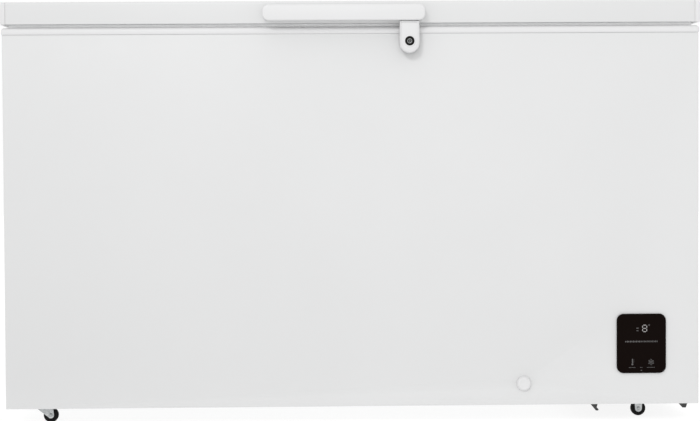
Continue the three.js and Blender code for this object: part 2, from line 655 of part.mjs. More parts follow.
function lidFoam() {
  const inset = LID.sheet + GAP;
  const clear = PLUG.sheet + GAP;
  const slab = extrudeX(lidSection(inset), -SKIN_HALF, SKIN_HALF);
  const plug = centredBox(
    PLUG.halfWidth - clear, PLUG.halfDepth - clear, PLUG.bottom + clear, LID.bottom + 5);
  return join(slab, plug);
}

// The moulded tray under the foam; its flange lies inside the skin's turned-in edge.
function lidLiner() {
  const flangeY = LID.halfDepth - LID_FLANGE - GAP;
  const flange = centredBox(
    SKIN_HALF - GAP, flangeY, LID.bottom - FLANGE_DROP, LID.bottom + 0.8);
  const plug = centredBox(PLUG.halfWidth, PLUG.halfDepth, PLUG.bottom, LID.bottom);
  const hollow = centredBox(PLUG.halfWidth - PLUG.sheet, PLUG.halfDepth - PLUG.sheet,
    PLUG.bottom + PLUG.sheet, LID.bottom + EMBED);
  return cut(join(flange, plug), hollow);
}

function lidCap(side) {
  const x0 = SKIN_HALF + GAP;
  const x1 = LID.halfWidth;
  return side > 0 ? extrudeX(lidSection(0), x0, x1) : extrudeX(lidSection(0), -x1, -x0);
}

function lidGasket() {
  const x = LID.halfWidth - GASKET.inset;
  const y = LID.halfDepth - GASKET.inset;
  const top = LID.bottom - FLANGE_DROP - GAP;
  return ring(x, y, x - GASKET.width, y - GASKET.width, FRAME.top + GAP, top, GASKET.radius);
}

// A grip across the lid's front edge, hollow from below for the fingers.
function handle() {
  const { x, width, bottom, top, front, radius, wall } = HANDLE;
  const back = -LID.halfDepth - GAP;
  const middle = (bottom + top) / 2;
  const outline = roundedRectangle(width / 2, (top - bottom) / 2, radius, x, middle);
  const grip = extrudeYRounded(outline, front, back, HANDLE.edge);
  const halfRoom = width / 2 - 2 * wall;
  const fingerRoom = box(
    x - halfRoom, x + halfRoom, front + wall, back - wall, bottom - EMBED, top - wall - 2);
  return cut(grip, fingerRoom);
}

// The tongue that hangs from the handle over the front of the cabinet and holds the lock.
function lockTab() {
  const half = TAB.width / 2;
  const top = HANDLE.bottom - GAP;
  const back = -LID.halfDepth - GAP;
  const outline = new THREE.Shape();
  outline.moveTo(LOCK.x + half, top);
  outline.lineTo(LOCK.x - half, top);
  outline.absarc(LOCK.x, TAB.bottom + half, half, Math.PI, 2 * Math.PI);
  const body = extrudeYRounded(outline, TAB.front, back, TAB.edge);
  const left = LOCK.x - half + TAB.wall;
  const right = LOCK.x + half - TAB.wall;
  const camRoomFront = CAM.front - 1.5;
  const roomTop = FRAME.top + 4;
  const camRoom = box(left, right, camRoomFront, back + EMBED, TAB.bottom - EMBED, roomTop);
  const deepRoom = box(left, right, TAB.front + 6, back + EMBED, LOCK.z - 14, roomTop);
  const barrel = cylinderY(LOCK.x, LOCK.z, LOCK.radius + 3, TAB.front + 4, camRoomFront);
  const bore = cylinderY(LOCK.x, LOCK.z, LOCK.radius + GAP, TAB.front - EMBED, back + EMBED);
  const halfStem = 14; // the tongue's root, inside the hollow handle
  const stem = box(LOCK.x - halfStem, LOCK.x + halfStem, TAB.front + 2.5, back - HANDLE.wall - GAP,
    top - 4, HANDLE.top - 9);
  return cut(join(cut(body, deepRoom, camRoom), barrel, stem), bore);
}

// The key cylinder with its cam, which points down when the lid is unlocked.
function lockCylinder() {
  const { x, z, radius, hub } = LOCK;
  const { halfWidth: w, reach, front, back } = CAM;
  const corner = 2;
  const body = cylinderY(x, z, radius, TAB.front + 0.5, front - 2);
  const shaft = cylinderY(x, z, hub, front - 3, back);
  const cam = extrudeY(polygon([
    [x - w, z], [x - w, z - reach + corner], [x - w + corner, z - reach],
    [x + w - corner, z - reach], [x + w, z - reach + corner], [x + w, z]]), front, back);
  const keyway = box(x - 1, x + 1, TAB.front - 1, TAB.front + 5, z - 4, z + 4);
  return cut(join(body, shaft, cam), keyway);
}

// A plate on the cabinet's front, behind the tab, with a ledge that the turned cam goes under.
function lockKeeper() {
  const { halfWidth, bottom, sheet, ledgeInner, ledge: thickness } = KEEPER;
  const face = -CABINET.halfDepth - GAP;
  const right = LOCK.x + halfWidth;
  const plate = box(LOCK.x - halfWidth, right, face - sheet, face, bottom, CABINET.top - 2);
  const low = LOCK.z + CAM.halfWidth + 1;
  const ledge = box(LOCK.x + ledgeInner, right, CAM.front - 0.5, face, low, low + thickness);
  return join(plate, ledge);
}

// ---- Hinges, drawn about the pivot and placed by a group ---------------------------------------

function hingeBase() {
  const { halfWidth, depth, sheet, hole, y, z } = HINGE;
  const face = CABINET.halfDepth + GAP - y;
  const frameClear = FRAME.halfDepth + 0.6 - y;
  const foot = HINGE_FOOT;
  const shoulder = CABINET.top - 1.5 - z;
  const cheek = new THREE.Shape();
  cheek.moveTo(face, foot);
  cheek.lineTo(depth - 5, foot);
  cheek.lineTo(depth, foot + 12);
  cheek.lineTo(depth, -20);
  cheek.absarc(0, 0, 9.5, 0, Math.PI);
  cheek.lineTo(frameClear, -9);
  cheek.lineTo(frameClear, shoulder);
  cheek.lineTo(face, shoulder);
  const cheeks = [-halfWidth, halfWidth - sheet].map((x) => extrudeX(cheek, x, x + sheet));
  const web = box(-halfWidth, halfWidth, face, face + sheet, foot, shoulder);
  return cut(join(web, ...cheeks), cylinderX(0, 0, hole, -halfWidth - 1, halfWidth + 1, 16));
}

function hingeArm() {
  const { sheet, hole, halfWidth } = HINGE;
  const face = LID.halfDepth + GAP - HINGE.y;
  const high = 39.5;
  const cheek = new THREE.Shape();
  cheek.moveTo(face + sheet, high);
  cheek.lineTo(face, high);
  cheek.lineTo(face, 2);
  cheek.absarc(0, 0, 8, Math.PI, 2 * Math.PI);
  cheek.lineTo(-2, 28);
  const outer = halfWidth - 2 * sheet;
  const cheeks = [-outer, outer - sheet].map((x) => extrudeX(cheek, x, x + sheet));
  const web = box(-outer, outer, face, face + sheet, 2, high);
  return cut(join(web, ...cheeks), cylinderX(0, 0, hole, -outer - 1, outer + 1, 16));
}

function hingePin() {
  const half = HINGE.halfWidth + 2;
  const shank = cylinderX(0, 0, HINGE.pin, -half, half, 16);
  const head = cylinderX(0, 0, HINGE.pin + 2, HINGE.halfWidth + GAP, half + 1, 16);
  return join(shank, head);
}

// Envelope of the lid's torsion spring, wound on the pin.
function hingeSpring() {
  const half = 14;
  const profile = [[4.5, -half], [7.5, -half], [7.5, half], [4.5, half], [4.5, -half]];
  return lathe(profile, 20).rotateZ(Math.PI / 2);
}

// ---- Casters, drawn about the axle and placed by a group ---------------------------------------

function wheel() {
  const half = WHEEL.width / 2;
  const r = WHEEL.radius;
  const profile = [
    [WHEEL.bore, -half], [r - WHEEL.edge, -half], [r, -half + WHEEL.edge], [r, half - WHEEL.edge],
    [r - WHEEL.edge, half], [WHEEL.bore, half], [WHEEL.bore, -half]];
  return lathe(profile);
}

function casterAxle() {
  const outside = FORK.inner + FORK.sheet + GAP;
  const shank = cylinderY(0, 0, WHEEL.axle, -outside - 1, outside + 1, 16);
  const heads = [-1, 1].map((side) => {
    const ends = [side * outside, side * (outside + RIVET.height)].sort((a, b) => a - b);
    return cylinderY(0, 0, RIVET.radius, ends[0], ends[1], 16);
  });
  return join(shank, ...heads);
}

function forkCheeks(outline) {
  const inner = FORK.inner;
  const outer = FORK.inner + FORK.sheet;
  return [extrudeY(outline, -outer, -inner), extrudeY(outline, inner, outer)];
}

function axleHole() {
  return cylinderY(0, 0, WHEEL.bore, -20, 20, 16);
}

function swivelFork() {
  const outer = FORK.inner + FORK.sheet;
  const end = 6.5;
  const front = 4;
  const back = -31;
  const outline = new THREE.Shape();
  outline.moveTo(front, CROWN.top);
  outline.lineTo(back, CROWN.top);
  outline.lineTo(back, CROWN.top - 7);
  outline.absarc(0, 0, end, 1.2 * Math.PI, 2 * Math.PI);
  const crown = box(back, front, -outer, outer, CROWN.bottom, CROWN.top);
  const pinHole = cylinderZ(-FORK.lead, 0, 4.4, CROWN.bottom - 1, CROWN.top + 1, 16);
  return cut(join(crown, ...forkCheeks(outline)), pinHole, axleHole());
}

// The fixed plate of a swivel caster, with the kingpin that its fork turns on.
function swivelPlate() {
  const x = -FORK.lead;
  const plate = box(x - 22, x + 22, -22, 22, PLATE_TOP - PLATE_THICKNESS, PLATE_TOP);
  const race = cylinderZ(x, 0, 12, CROWN.top + GAP, PLATE_TOP - 1);
  const pin = cylinderZ(x, 0, 4, CROWN.bottom - 2, PLATE_TOP - 1, 16);
  const head = cylinderZ(x, 0, 6, CROWN.bottom - 2.2, CROWN.bottom - GAP, 16);
  return join(plate, race, pin, head);
}

function rigidFork() {
  const outer = FORK.inner + FORK.sheet;
  const end = 7;
  const shoulder = 8.75;
  const outline = new THREE.Shape();
  outline.moveTo(shoulder, PLATE_TOP - 1);
  outline.lineTo(-shoulder, PLATE_TOP - 1);
  outline.absarc(0, 0, end, Math.PI, 2 * Math.PI);
  const plate = box(-20, 20, -outer - 8, outer + 8, PLATE_TOP - PLATE_THICKNESS, PLATE_TOP);
  return cut(join(plate, ...forkCheeks(outline)), axleHole());
}

// ---- Basket -----------------------------------------------------------------------------------

// A four-sided cup that narrows downwards; a negative inset grows it.
function taperedBlock(inset, bottom, top) {
  const height = top - bottom;
  const block = new THREE.BoxGeometry(2, 2, height).translate(0, 0, bottom + height / 2);
  const place = block.attributes.position;
  for (let i = 0; i < place.count; i++) {
    const share = (BASKET.top - place.getZ(i)) / (BASKET.top - BASKET.bottom);
    const pinch = inset + share * BASKET.taper;
    place.setX(i, place.getX(i) * (BASKET.halfWidth - pinch));
    place.setY(i, place.getY(i) * (BASKET.halfDepth - pinch));
  }
  return block;
}

// A hanging basket as a thin-walled box, with a runner along each end that rests on the ledge.
function basket() {
  const { halfWidth, halfDepth, bottom, top, wall } = BASKET;
  const railTop = LEDGE.top + 3;
  const reach = BAY.halfDepth - FRAME.wall - 1.5;
  const cup = cut(taperedBlock(0, bottom, top), taperedBlock(wall, bottom + wall, top + EMBED));
  const bar = (side, near, far, low) => {
    const [y0, y1] = [side * near, side * far].sort((a, b) => a - b);
    return box(-halfWidth, halfWidth, y0, y1, low, railTop);
  };
  const ends = [-1, 1].flatMap((side) => [
    bar(side, halfDepth - wall, halfDepth, top - EMBED),
    bar(side, halfDepth - wall, reach, LEDGE.top + GAP)]);
  return join(cup, ...ends);
}

// ---- Assembly ---------------------------------------------------------------------------------

function buildCabinet() {
  const group = new THREE.Group();
  addMesh(group, "cabinet_shell", cabinetShell(), materials.whitePaint);
  addMesh(group, "rear_panel", rearPanel(), materials.whitePaint);
  addMesh(group, "bottom_panel", bottomPanel(), materials.zinc);
  addMesh(group, "compressor_bulkhead", compressorBulkhead(), materials.zinc);
  addMesh(group, "insulation_foam", insulationFoam(), materials.foam);
  addMesh(group, "inner_liner", innerLiner(), materials.linerPaint);
  addMesh(group, "top_frame", topFrame(), materials.whitePlastic);
  addMesh(group, "side_grille", sideGrille(), materials.whitePlastic);
  addMesh(group, "cord_gland", cordGland(), materials.blackPlastic);
  addMesh(group, "lock_keeper", lockKeeper(), materials.zinc);
  addMesh(group, "control_panel", controlPanel(), materials.blackGlass);
  addMesh(group, "control_housing", controlHousing(), materials.blackPlastic);
  addMesh(group, "control_board", controlBoard(), materials.circuitBoard);
  addMesh(group, "drain_tube", drainTube(), materials.greyPlastic);
  addMesh(group, "drain_cap", drainCap(), materials.whitePlastic);
  addMesh(group, "drain_stopper", drainStopper(), materials.greyPlastic);
  return group;
}

function buildMachine() {
  const group = new THREE.Group();
  addMesh(group, "compressor_base_plate", compressorBasePlate(), materials.darkSteel);
  addMesh(group, "compressor_housing", compressorHousing(), materials.darkSteel);
  addMesh(group, "relay_box", relayBox(), materials.blackPlastic);
  addMesh(group, "suction_line", suctionLine(), materials.copper);
  addMesh(group, "discharge_line", dischargeLine(), materials.copper);
  addMesh(group, "filter_drier", filterDrier(), materials.copper);
  addMesh(group, "condenser_tube", condenserTube(), materials.darkSteel);
  addMesh(group, "evaporator_tube", evaporatorTube(), materials.copper);
  const corners = { front_left: [-1, -1], front_right: [1, -1], rear_left: [-1, 1], rear_right: [1, 1] };
  for (const [place, [sideX, sideY]] of Object.entries(corners)) {
    const mount = addMesh(group, `compressor_mount_${place}`, compressorMount(), materials.rubber);
    mount.position.set(COMPRESSOR.x + sideX * FOOT.halfX, COMPRESSOR.y + sideY * FOOT.halfY, 0);
  }
  return group;
}

function buildLid() {
  const group = new THREE.Group();
  addMesh(group, "lid_skin", lidSkin(), materials.whitePaint);
  addMesh(group, "lid_foam", lidFoam(), materials.foam);
  addMesh(group, "lid_liner", lidLiner(), materials.linerPaint);
  addMesh(group, "lid_cap_left", lidCap(-1), materials.whitePlastic);
  addMesh(group, "lid_cap_right", lidCap(1), materials.whitePlastic);
  addMesh(group, "lid_gasket", lidGasket(), materials.gasket);
  addMesh(group, "handle", handle(), materials.whitePlastic);
  addMesh(group, "lock_tab", lockTab(), materials.whitePlastic);
  addMesh(group, "lock_cylinder", lockCylinder(), materials.blackPlastic);
  return group;
}

function buildHinge(name, x) {
  const group = new THREE.Group();
  group.position.set(x, HINGE.y, HINGE.z);
  addMesh(group, `hinge_base_${name}`, hingeBase(), materials.zinc);
  addMesh(group, `hinge_arm_${name}`, hingeArm(), materials.zinc);
  addMesh(group, `hinge_pin_${name}`, hingePin(), materials.zinc);
  addMesh(group, `hinge_spring_${name}`, hingeSpring(), materials.darkSteel);
  return group;
}

function buildCaster(name, x, y, swivels) {
  const group = new THREE.Group();
  group.position.set(x, y, WHEEL.radius);
  if (swivels) addMesh(group, `caster_plate_${name}`, swivelPlate(), materials.zinc);
  addMesh(group, `caster_fork_${name}`, swivels ? swivelFork() : rigidFork(), materials.zinc);
  addMesh(group, `caster_axle_${name}`, casterAxle(), materials.zinc);
  addMesh(group, `caster_wheel_${name}`, wheel(), materials.tyre);
  return group;
}

const freezer = new THREE.Group();
freezer.add(buildCabinet(), buildMachine(), buildLid());
freezer.add(buildHinge("left", -HINGE.x), buildHinge("right", HINGE.x));
for (const [row, side] of [["front", -1], ["rear", 1]]) {
  freezer.add(buildCaster(`${row}_left`, SWIVEL_CASTER.x, side * SWIVEL_CASTER.y, true));
  freezer.add(buildCaster(`${row}_right`, RIGID_CASTER.x, side * RIGID_CASTER.y, false));
}
addMesh(freezer, "basket", basket(), materials.wire).position.x = BASKET.x;

export default freezer;
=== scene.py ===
"""A white chest freezer on casters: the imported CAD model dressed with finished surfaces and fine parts.

Everything is in metres, in the CAD frame: +X to the right, +Y to the back, +Z up, floor at z = 0.
"""

import math

import bmesh
import bpy
from mathutils import Matrix, Vector


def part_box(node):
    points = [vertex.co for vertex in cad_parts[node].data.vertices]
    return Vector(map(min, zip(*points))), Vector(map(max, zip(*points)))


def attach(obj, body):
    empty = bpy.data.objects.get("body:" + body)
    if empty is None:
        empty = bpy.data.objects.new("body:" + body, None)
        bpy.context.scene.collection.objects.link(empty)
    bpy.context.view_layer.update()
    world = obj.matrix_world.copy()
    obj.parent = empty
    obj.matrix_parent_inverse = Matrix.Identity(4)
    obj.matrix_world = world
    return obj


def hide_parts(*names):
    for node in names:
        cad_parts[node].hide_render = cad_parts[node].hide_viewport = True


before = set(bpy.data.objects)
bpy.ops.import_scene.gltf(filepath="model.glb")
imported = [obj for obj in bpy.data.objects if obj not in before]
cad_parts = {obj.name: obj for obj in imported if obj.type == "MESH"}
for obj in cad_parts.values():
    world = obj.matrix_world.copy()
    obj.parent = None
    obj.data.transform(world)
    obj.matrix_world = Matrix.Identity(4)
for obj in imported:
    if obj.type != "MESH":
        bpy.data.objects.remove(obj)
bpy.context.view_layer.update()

MM = 0.001

# ---- Camera, lights and floor ------------------------------------------------------------------

CAMERA_FROM_FRONT = 4.0  # from the cabinet's front face
CAMERA_PLACE = (-0.100, 0.559)  # across and up
CAMERA_YAW, CAMERA_PITCH, CAMERA_ROLL = 1.36, -1.87, -0.34  # degrees
FOCAL_LENGTH = 102.1  # mm, on a sensor 36 mm wide

WHITE_LEVEL = 1.0  # brightness of the surroundings
KEY_PLACE, KEY_AIM = (-1.9, -6.0, 4.2), (0.25, -0.32, 0.80)
KEY_SIZE, KEY_SPREAD, KEY_POWER = (1.6, 1.2), 30, 3.3  # metres, degrees, watts

NEAR_GLOW, FAR_GLOW, UNDER_GLOW = 0.79, 0.86, 0.10  # painted light given off by the floor: dimmer near, as a painted shade, full far off, and a painted pool extra below
FADE_BAND = (0.95, 1.7)  # where the near floor turns into the far floor, from the freezer's middle


def add_camera():
    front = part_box("cabinet_shell")[0].y
    data = bpy.data.cameras.new("camera")
    data.lens = FOCAL_LENGTH
    data.sensor_width = 36.0
    camera = bpy.data.objects.new("camera", data)
    bpy.context.scene.collection.objects.link(camera)
    turn = (
        Matrix.Rotation(math.radians(-CAMERA_YAW), 4, "Z")
        @ Matrix.Rotation(math.radians(90 + CAMERA_PITCH), 4, "X")
        @ Matrix.Rotation(math.radians(CAMERA_ROLL), 4, "Z")
    )
    place = Vector((CAMERA_PLACE[0], front - CAMERA_FROM_FRONT, CAMERA_PLACE[1]))
    camera.matrix_world = Matrix.Translation(place) @ turn
    bpy.context.scene.camera = camera


def add_area_light(name, place, aim, size, spread, power):
    data = bpy.data.lights.new(name, "AREA")
    data.shape = "RECTANGLE"
    data.size, data.size_y = size
    data.spread = math.radians(spread)
    data.energy = power
    light = bpy.data.objects.new(name, data)
    bpy.context.scene.collection.objects.link(light)
    light.location = place
    light.rotation_euler = (Vector(aim) - Vector(place)).to_track_quat("-Z", "Y").to_euler()


def add_surroundings():
    scene = bpy.context.scene
    scene.view_settings.view_transform = "Standard"
    world = bpy.data.worlds.new("studio")
    scene.world = world
    world.use_nodes = True
    background = world.node_tree.nodes["Background"]
    background.inputs["Color"].default_value = (1.0, 1.0, 1.0, 1.0)
    background.inputs["Strength"].default_value = WHITE_LEVEL
    add_area_light("key", KEY_PLACE, KEY_AIM, KEY_SIZE, KEY_SPREAD, KEY_POWER)


def add_floor():
    bm = bmesh.new()
    reach = 12.0
    bmesh.ops.create_grid(bm, x_segments=1, y_segments=1, size=reach)
    mesh = bpy.data.meshes.new("floor")
    bm.to_mesh(mesh)
    bm.free()
    floor = bpy.data.objects.new("floor", mesh)
    bpy.context.scene.collection.objects.link(floor)
    floor.location = (0, 0, -0.0005)
    mesh.materials.append(materials["floor"])


# ---- Materials ---------------------------------------------------------------------------------


class Finish:
    """A Principled material, with short calls that add what varies over the surface."""

    def __init__(self, name, color, roughness, metallic=0.0, **sockets):
        self.material = bpy.data.materials.new(name)
        self.material.use_nodes = True
        self.tree = self.material.node_tree
        self.shader = self.tree.nodes["Principled BSDF"]
        self.color = color
        self.shader.inputs["Base Color"].default_value = (*color, 1.0)
        self.shader.inputs["Roughness"].default_value = roughness
        self.shader.inputs["Metallic"].default_value = metallic
        for socket, value in sockets.items():
            self.shader.inputs[socket.replace("_", " ")].default_value = value
        self.place = self.tree.nodes.new("ShaderNodeTexCoord").outputs["Object"]
        self.bumps = []

    def link(self, source, target):
        self.tree.links.new(source, target)

    def stretched(self, scale):
        mapping = self.tree.nodes.new("ShaderNodeMapping")
        mapping.inputs["Scale"].default_value = scale
        self.link(self.place, mapping.inputs["Vector"])
        return mapping.outputs["Vector"]

    def noise(self, scale, detail=3.0, rough=0.55, stretch=None):
        node = self.tree.nodes.new("ShaderNodeTexNoise")
        node.inputs["Scale"].default_value = scale
        node.inputs["Detail"].default_value = detail
        node.inputs["Roughness"].default_value = rough
        self.link(self.stretched(stretch) if stretch else self.place, node.inputs["Vector"])
        return node.outputs["Fac"]

    def cells(self, scale, feature="F1", output="Distance", stretch=None):
        node = self.tree.nodes.new("ShaderNodeTexVoronoi")
        node.feature = feature
        node.inputs["Scale"].default_value = scale
        self.link(self.stretched(stretch) if stretch else self.place, node.inputs["Vector"])
        return node.outputs[output]

    def remap(self, value, low, high, from_low=0.3, from_high=0.7):
        node = self.tree.nodes.new("ShaderNodeMapRange")
        node.inputs["From Min"].default_value = from_low
        node.inputs["From Max"].default_value = from_high
        node.inputs["To Min"].default_value = low
        node.inputs["To Max"].default_value = high
        self.link(value, node.inputs["Value"])
        return node.outputs["Result"]

    def math(self, operation, first, second=None):
        """A number from one or two others; DISTANCE is a position's length."""
        if operation == "DISTANCE":
            node = self.tree.nodes.new("ShaderNodeVectorMath")
            node.operation = "LENGTH"
            self.link(first, node.inputs[0])
            return node.outputs["Value"]
        node = self.tree.nodes.new("ShaderNodeMath")
        node.operation = operation
        self.link(first, node.inputs[0])
        if second is not None:
            self.link(second, node.inputs[1])
        return node.outputs["Value"]

    def vary_roughness(self, value, low, high):
        self.link(self.remap(value, low, high), self.shader.inputs["Roughness"])
        return self

    def vary_color(self, value, low, high):
        ramp = self.tree.nodes.new("ShaderNodeValToRGB")
        ramp.color_ramp.elements[0].position = 0.3
        ramp.color_ramp.elements[1].position = 0.7
        ramp.color_ramp.elements[0].color = (*low, 1.0)
        ramp.color_ramp.elements[1].color = (*high, 1.0)
        self.link(value, ramp.inputs["Fac"])
        self.link(ramp.outputs["Color"], self.shader.inputs["Base Color"])
        return self

    def shade_color(self, value, amount):
        """Varies the base colour up and down by a small share of itself."""
        low = tuple(c * (1 - amount) for c in self.color)
        high = tuple(min(c * (1 + amount), 1.0) for c in self.color)
        return self.vary_color(value, low, high)

    def bump(self, height, depth, strength=1.0):
        node = self.tree.nodes.new("ShaderNodeBump")
        node.inputs["Distance"].default_value = depth
        node.inputs["Strength"].default_value = strength
        self.link(height, node.inputs["Height"])
        if self.bumps:
            self.link(self.bumps[-1].outputs["Normal"], node.inputs["Normal"])
        self.bumps.append(node)
        self.link(node.outputs["Normal"], self.shader.inputs["Normal"])
        return self


def powder_white():
    """Semi-gloss white powder coat with the faint orange peel of sprayed sheet steel."""
    paint = Finish("powder_white", (0.685, 0.688, 0.689), 0.40, Specular_IOR_Level=0.35)
    paint.shade_color(paint.noise(2.2, 4), 0.012)
    paint.vary_roughness(paint.noise(9, 5), 0.35, 0.47)
    paint.bump(paint.noise(420, 2), 0.00006, 0.35)
    return paint.bump(paint.noise(60, 2), 0.00012, 0.3)


def plastic_white():
    """Moulded satin white plastic with a fine spark-eroded grain."""
    plastic = Finish("plastic_white", (0.700, 0.700, 0.704), 0.42, IOR=1.49)
    plastic.shade_color(plastic.noise(5, 3), 0.01)
    plastic.vary_roughness(plastic.noise(30, 4), 0.36, 0.5)
    return plastic.bump(plastic.noise(1500, 2), 0.00004, 0.5)


def liner_stucco():
    """White-painted sheet with the soft emboss of a freezer's liner."""
    liner = Finish("liner_stucco", (0.76, 0.768, 0.772), 0.48, Specular_IOR_Level=0.35)
    pebbles = liner.noise(60, 1)
    liner.shade_color(liner.noise(3, 4), 0.015)
    liner.vary_roughness(liner.noise(25, 4), 0.45, 0.51)
    return liner.bump(pebbles, 0.0003, 0.35)


def zinc_plate():
    """Zinc-plated pressed steel: faint spangle, drawn scratches and duller hollows."""
    zinc = Finish("zinc_plate", (0.50, 0.515, 0.52), 0.36, 1.0)
    zinc.vary_color(zinc.noise(160, 5, 0.65), (0.36, 0.38, 0.385), (0.60, 0.61, 0.61))
    zinc.vary_roughness(zinc.cells(320, "F1", "Color"), 0.27, 0.5)
    return zinc.bump(zinc.noise(40, 6, 0.6, (1, 1, 30)), 0.00006, 0.35)


def black_enamel():
    enamel = Finish("black_enamel", (0.012, 0.012, 0.013), 0.34, Coat_Weight=0.3, Coat_Roughness=0.25)
    enamel.vary_color(enamel.noise(45, 5), (0.008, 0.008, 0.009), (0.024, 0.023, 0.022))
    enamel.vary_roughness(enamel.noise(70, 4), 0.25, 0.55)
    return enamel.bump(enamel.noise(260, 2), 0.0001, 0.4)


def panel_gloss():
    """The control panel's face: deep gloss black, with only the faintest wipe marks."""
    gloss = Finish("panel_gloss", (0.0042, 0.0018, 0.0012), 0.07, Specular_IOR_Level=0.04)
    gloss.vary_roughness(gloss.noise(26, 5, 0.6, (1, 1, 0.4)), 0.05, 0.13)
    return gloss.bump(gloss.noise(35, 1), 0.00002, 0.15)


def black_plastic():
    plastic = Finish("black_plastic", (0.02, 0.02, 0.021), 0.5)
    plastic.vary_color(plastic.noise(90, 4), (0.015, 0.015, 0.016), (0.03, 0.03, 0.031))
    plastic.vary_roughness(plastic.noise(60, 4), 0.42, 0.6)
    return plastic.bump(plastic.noise(1800, 2), 0.00005, 0.6)


def grey_plastic():
    plastic = Finish("grey_plastic", (0.46, 0.47, 0.48), 0.48)
    plastic.shade_color(plastic.noise(40, 4), 0.04)
    plastic.vary_roughness(plastic.noise(50, 4), 0.42, 0.58)
    return plastic.bump(plastic.noise(1600, 2), 0.00004, 0.5)


def seal_rubber():
    """The lid's soft grey-white seal, with a faint painted glow that lifts the shade in the narrow gap under
    the lid.
    """
    rubber = Finish("seal_rubber", (0.90, 0.902, 0.905), 0.6, Sheen_Weight=0.1)
    rubber.shader.inputs["Emission Color"].default_value = (1.0, 1.0, 1.0, 1.0)
    rubber.shader.inputs["Emission Strength"].default_value = 0.07  # painted light: a faint glow that keeps the shaded narrow gap from going dark
    rubber.shade_color(rubber.noise(14, 4), 0.03)
    rubber.vary_roughness(rubber.noise(40, 4), 0.55, 0.75)
    return rubber.bump(rubber.noise(900, 2), 0.00005, 0.5)


def tyre_black():
    """Hard black tread, a little dusty."""
    rubber = Finish("tyre_black", (0.004, 0.004, 0.004), 0.6, Specular_IOR_Level=0.12)
    rubber.vary_color(rubber.noise(220, 6, 0.7), (0.0025, 0.0025, 0.0025), (0.010, 0.0095, 0.009))
    rubber.vary_roughness(rubber.noise(130, 5), 0.42, 0.72)
    return rubber.bump(rubber.noise(900, 3), 0.0001, 0.5)


def mount_rubber():
    rubber = Finish("mount_rubber", (0.02, 0.02, 0.02), 0.8)
    rubber.vary_color(rubber.noise(120, 5), (0.013, 0.013, 0.013), (0.035, 0.034, 0.033))
    return rubber.bump(rubber.noise(700, 3), 0.0001, 0.5)


def copper_tube():
    copper = Finish("copper_tube", (0.72, 0.34, 0.20), 0.3, 1.0)
    copper.vary_color(copper.noise(35, 5, 0.65), (0.48, 0.21, 0.12), (0.80, 0.42, 0.27))
    copper.vary_roughness(copper.noise(90, 4), 0.22, 0.5)
    return copper.bump(copper.noise(60, 4), 0.00005, 0.3)


def foam_block():
    foam = Finish("foam_block", (0.74, 0.64, 0.36), 0.9)
    foam.vary_color(foam.noise(25, 5), (0.66, 0.55, 0.29), (0.82, 0.73, 0.46))
    return foam.bump(foam.cells(500), 0.0006, 0.8)


def circuit_green():
    board = Finish("circuit_green", (0.02, 0.11, 0.045), 0.4)
    board.vary_color(board.cells(260, "F1", "Color"), (0.012, 0.075, 0.03), (0.035, 0.16, 0.07))
    return board.bump(board.cells(260), 0.0002, 0.5)


def coated_wire():
    """Thick white vinyl dip over steel wire."""
    vinyl = Finish("coated_wire", (0.78, 0.785, 0.79), 0.3, Coat_Weight=0.3, Coat_Roughness=0.15)
    vinyl.shade_color(vinyl.noise(20, 4), 0.02)
    vinyl.vary_roughness(vinyl.noise(80, 4), 0.24, 0.42)
    return vinyl.bump(vinyl.noise(350, 2), 0.00012, 0.35)


def lock_metal():
    """Blackened die-cast face of the key cylinder."""
    metal = Finish("lock_metal", (0.014, 0.0135, 0.013), 0.3, 0.6, Specular_IOR_Level=0.25)
    metal.vary_color(metal.noise(700, 4, 0.6), (0.006, 0.006, 0.006), (0.03, 0.029, 0.028))
    metal.vary_roughness(metal.noise(900, 3), 0.22, 0.46)
    return metal.bump(metal.noise(1500, 3), 0.00005, 0.5)


def display_mark(name, level):
    """A printed or lit mark on the control panel."""
    mark = Finish(name, (level, level * 0.96, level * 0.95), 0.4)
    mark.shader.inputs["Emission Color"].default_value = (level, level * 0.95, level * 0.94, 1.0)
    mark.shader.inputs["Emission Strength"].default_value = 0.25
    return mark.shade_color(mark.noise(900, 3), 0.12)


def floor_pale():
    """Pale floor that turns white further off, with painted light: it glows a little less near the freezer, a
    painted shade round it, and a painted pool of glow under the freezer leaves only a faint shadow there.
    """
    floor = Finish("floor_pale", (0.16, 0.16, 0.16), 0.7, Specular_IOR_Level=0.1)
    floor.shade_color(floor.noise(1.5, 3), 0.03)
    distance = floor.math("DISTANCE", floor.place)
    # painted shade: the floor glows less near the freezer than far off
    open_glow = floor.remap(distance, NEAR_GLOW, FAR_GLOW, *FADE_BAND)
    apart = floor.tree.nodes.new("ShaderNodeSeparateXYZ")
    floor.link(floor.place, apart.inputs["Vector"])
    across = floor.math("ABSOLUTE", apart.outputs["X"])
    beside = floor.remap(across, 1.0, 0.0, 0.66, 0.95)
    ahead = floor.remap(apart.outputs["Y"], 0.0, 1.0, -0.52, -0.34)
    behind = floor.remap(apart.outputs["Y"], 1.0, 0.0, 0.30, 0.62)
    below = floor.math("MULTIPLY", beside, floor.math("MULTIPLY", ahead, behind))
    # painted light: a pool of glow under the freezer that washes out its cast shadow
    under_glow = floor.remap(below, 0.0, UNDER_GLOW, 0.0, 1.0)
    floor.shader.inputs["Emission Color"].default_value = (1.0, 1.0, 1.0, 1.0)
    floor.link(floor.math("ADD", open_glow, under_glow), floor.shader.inputs["Emission Strength"])
    return floor


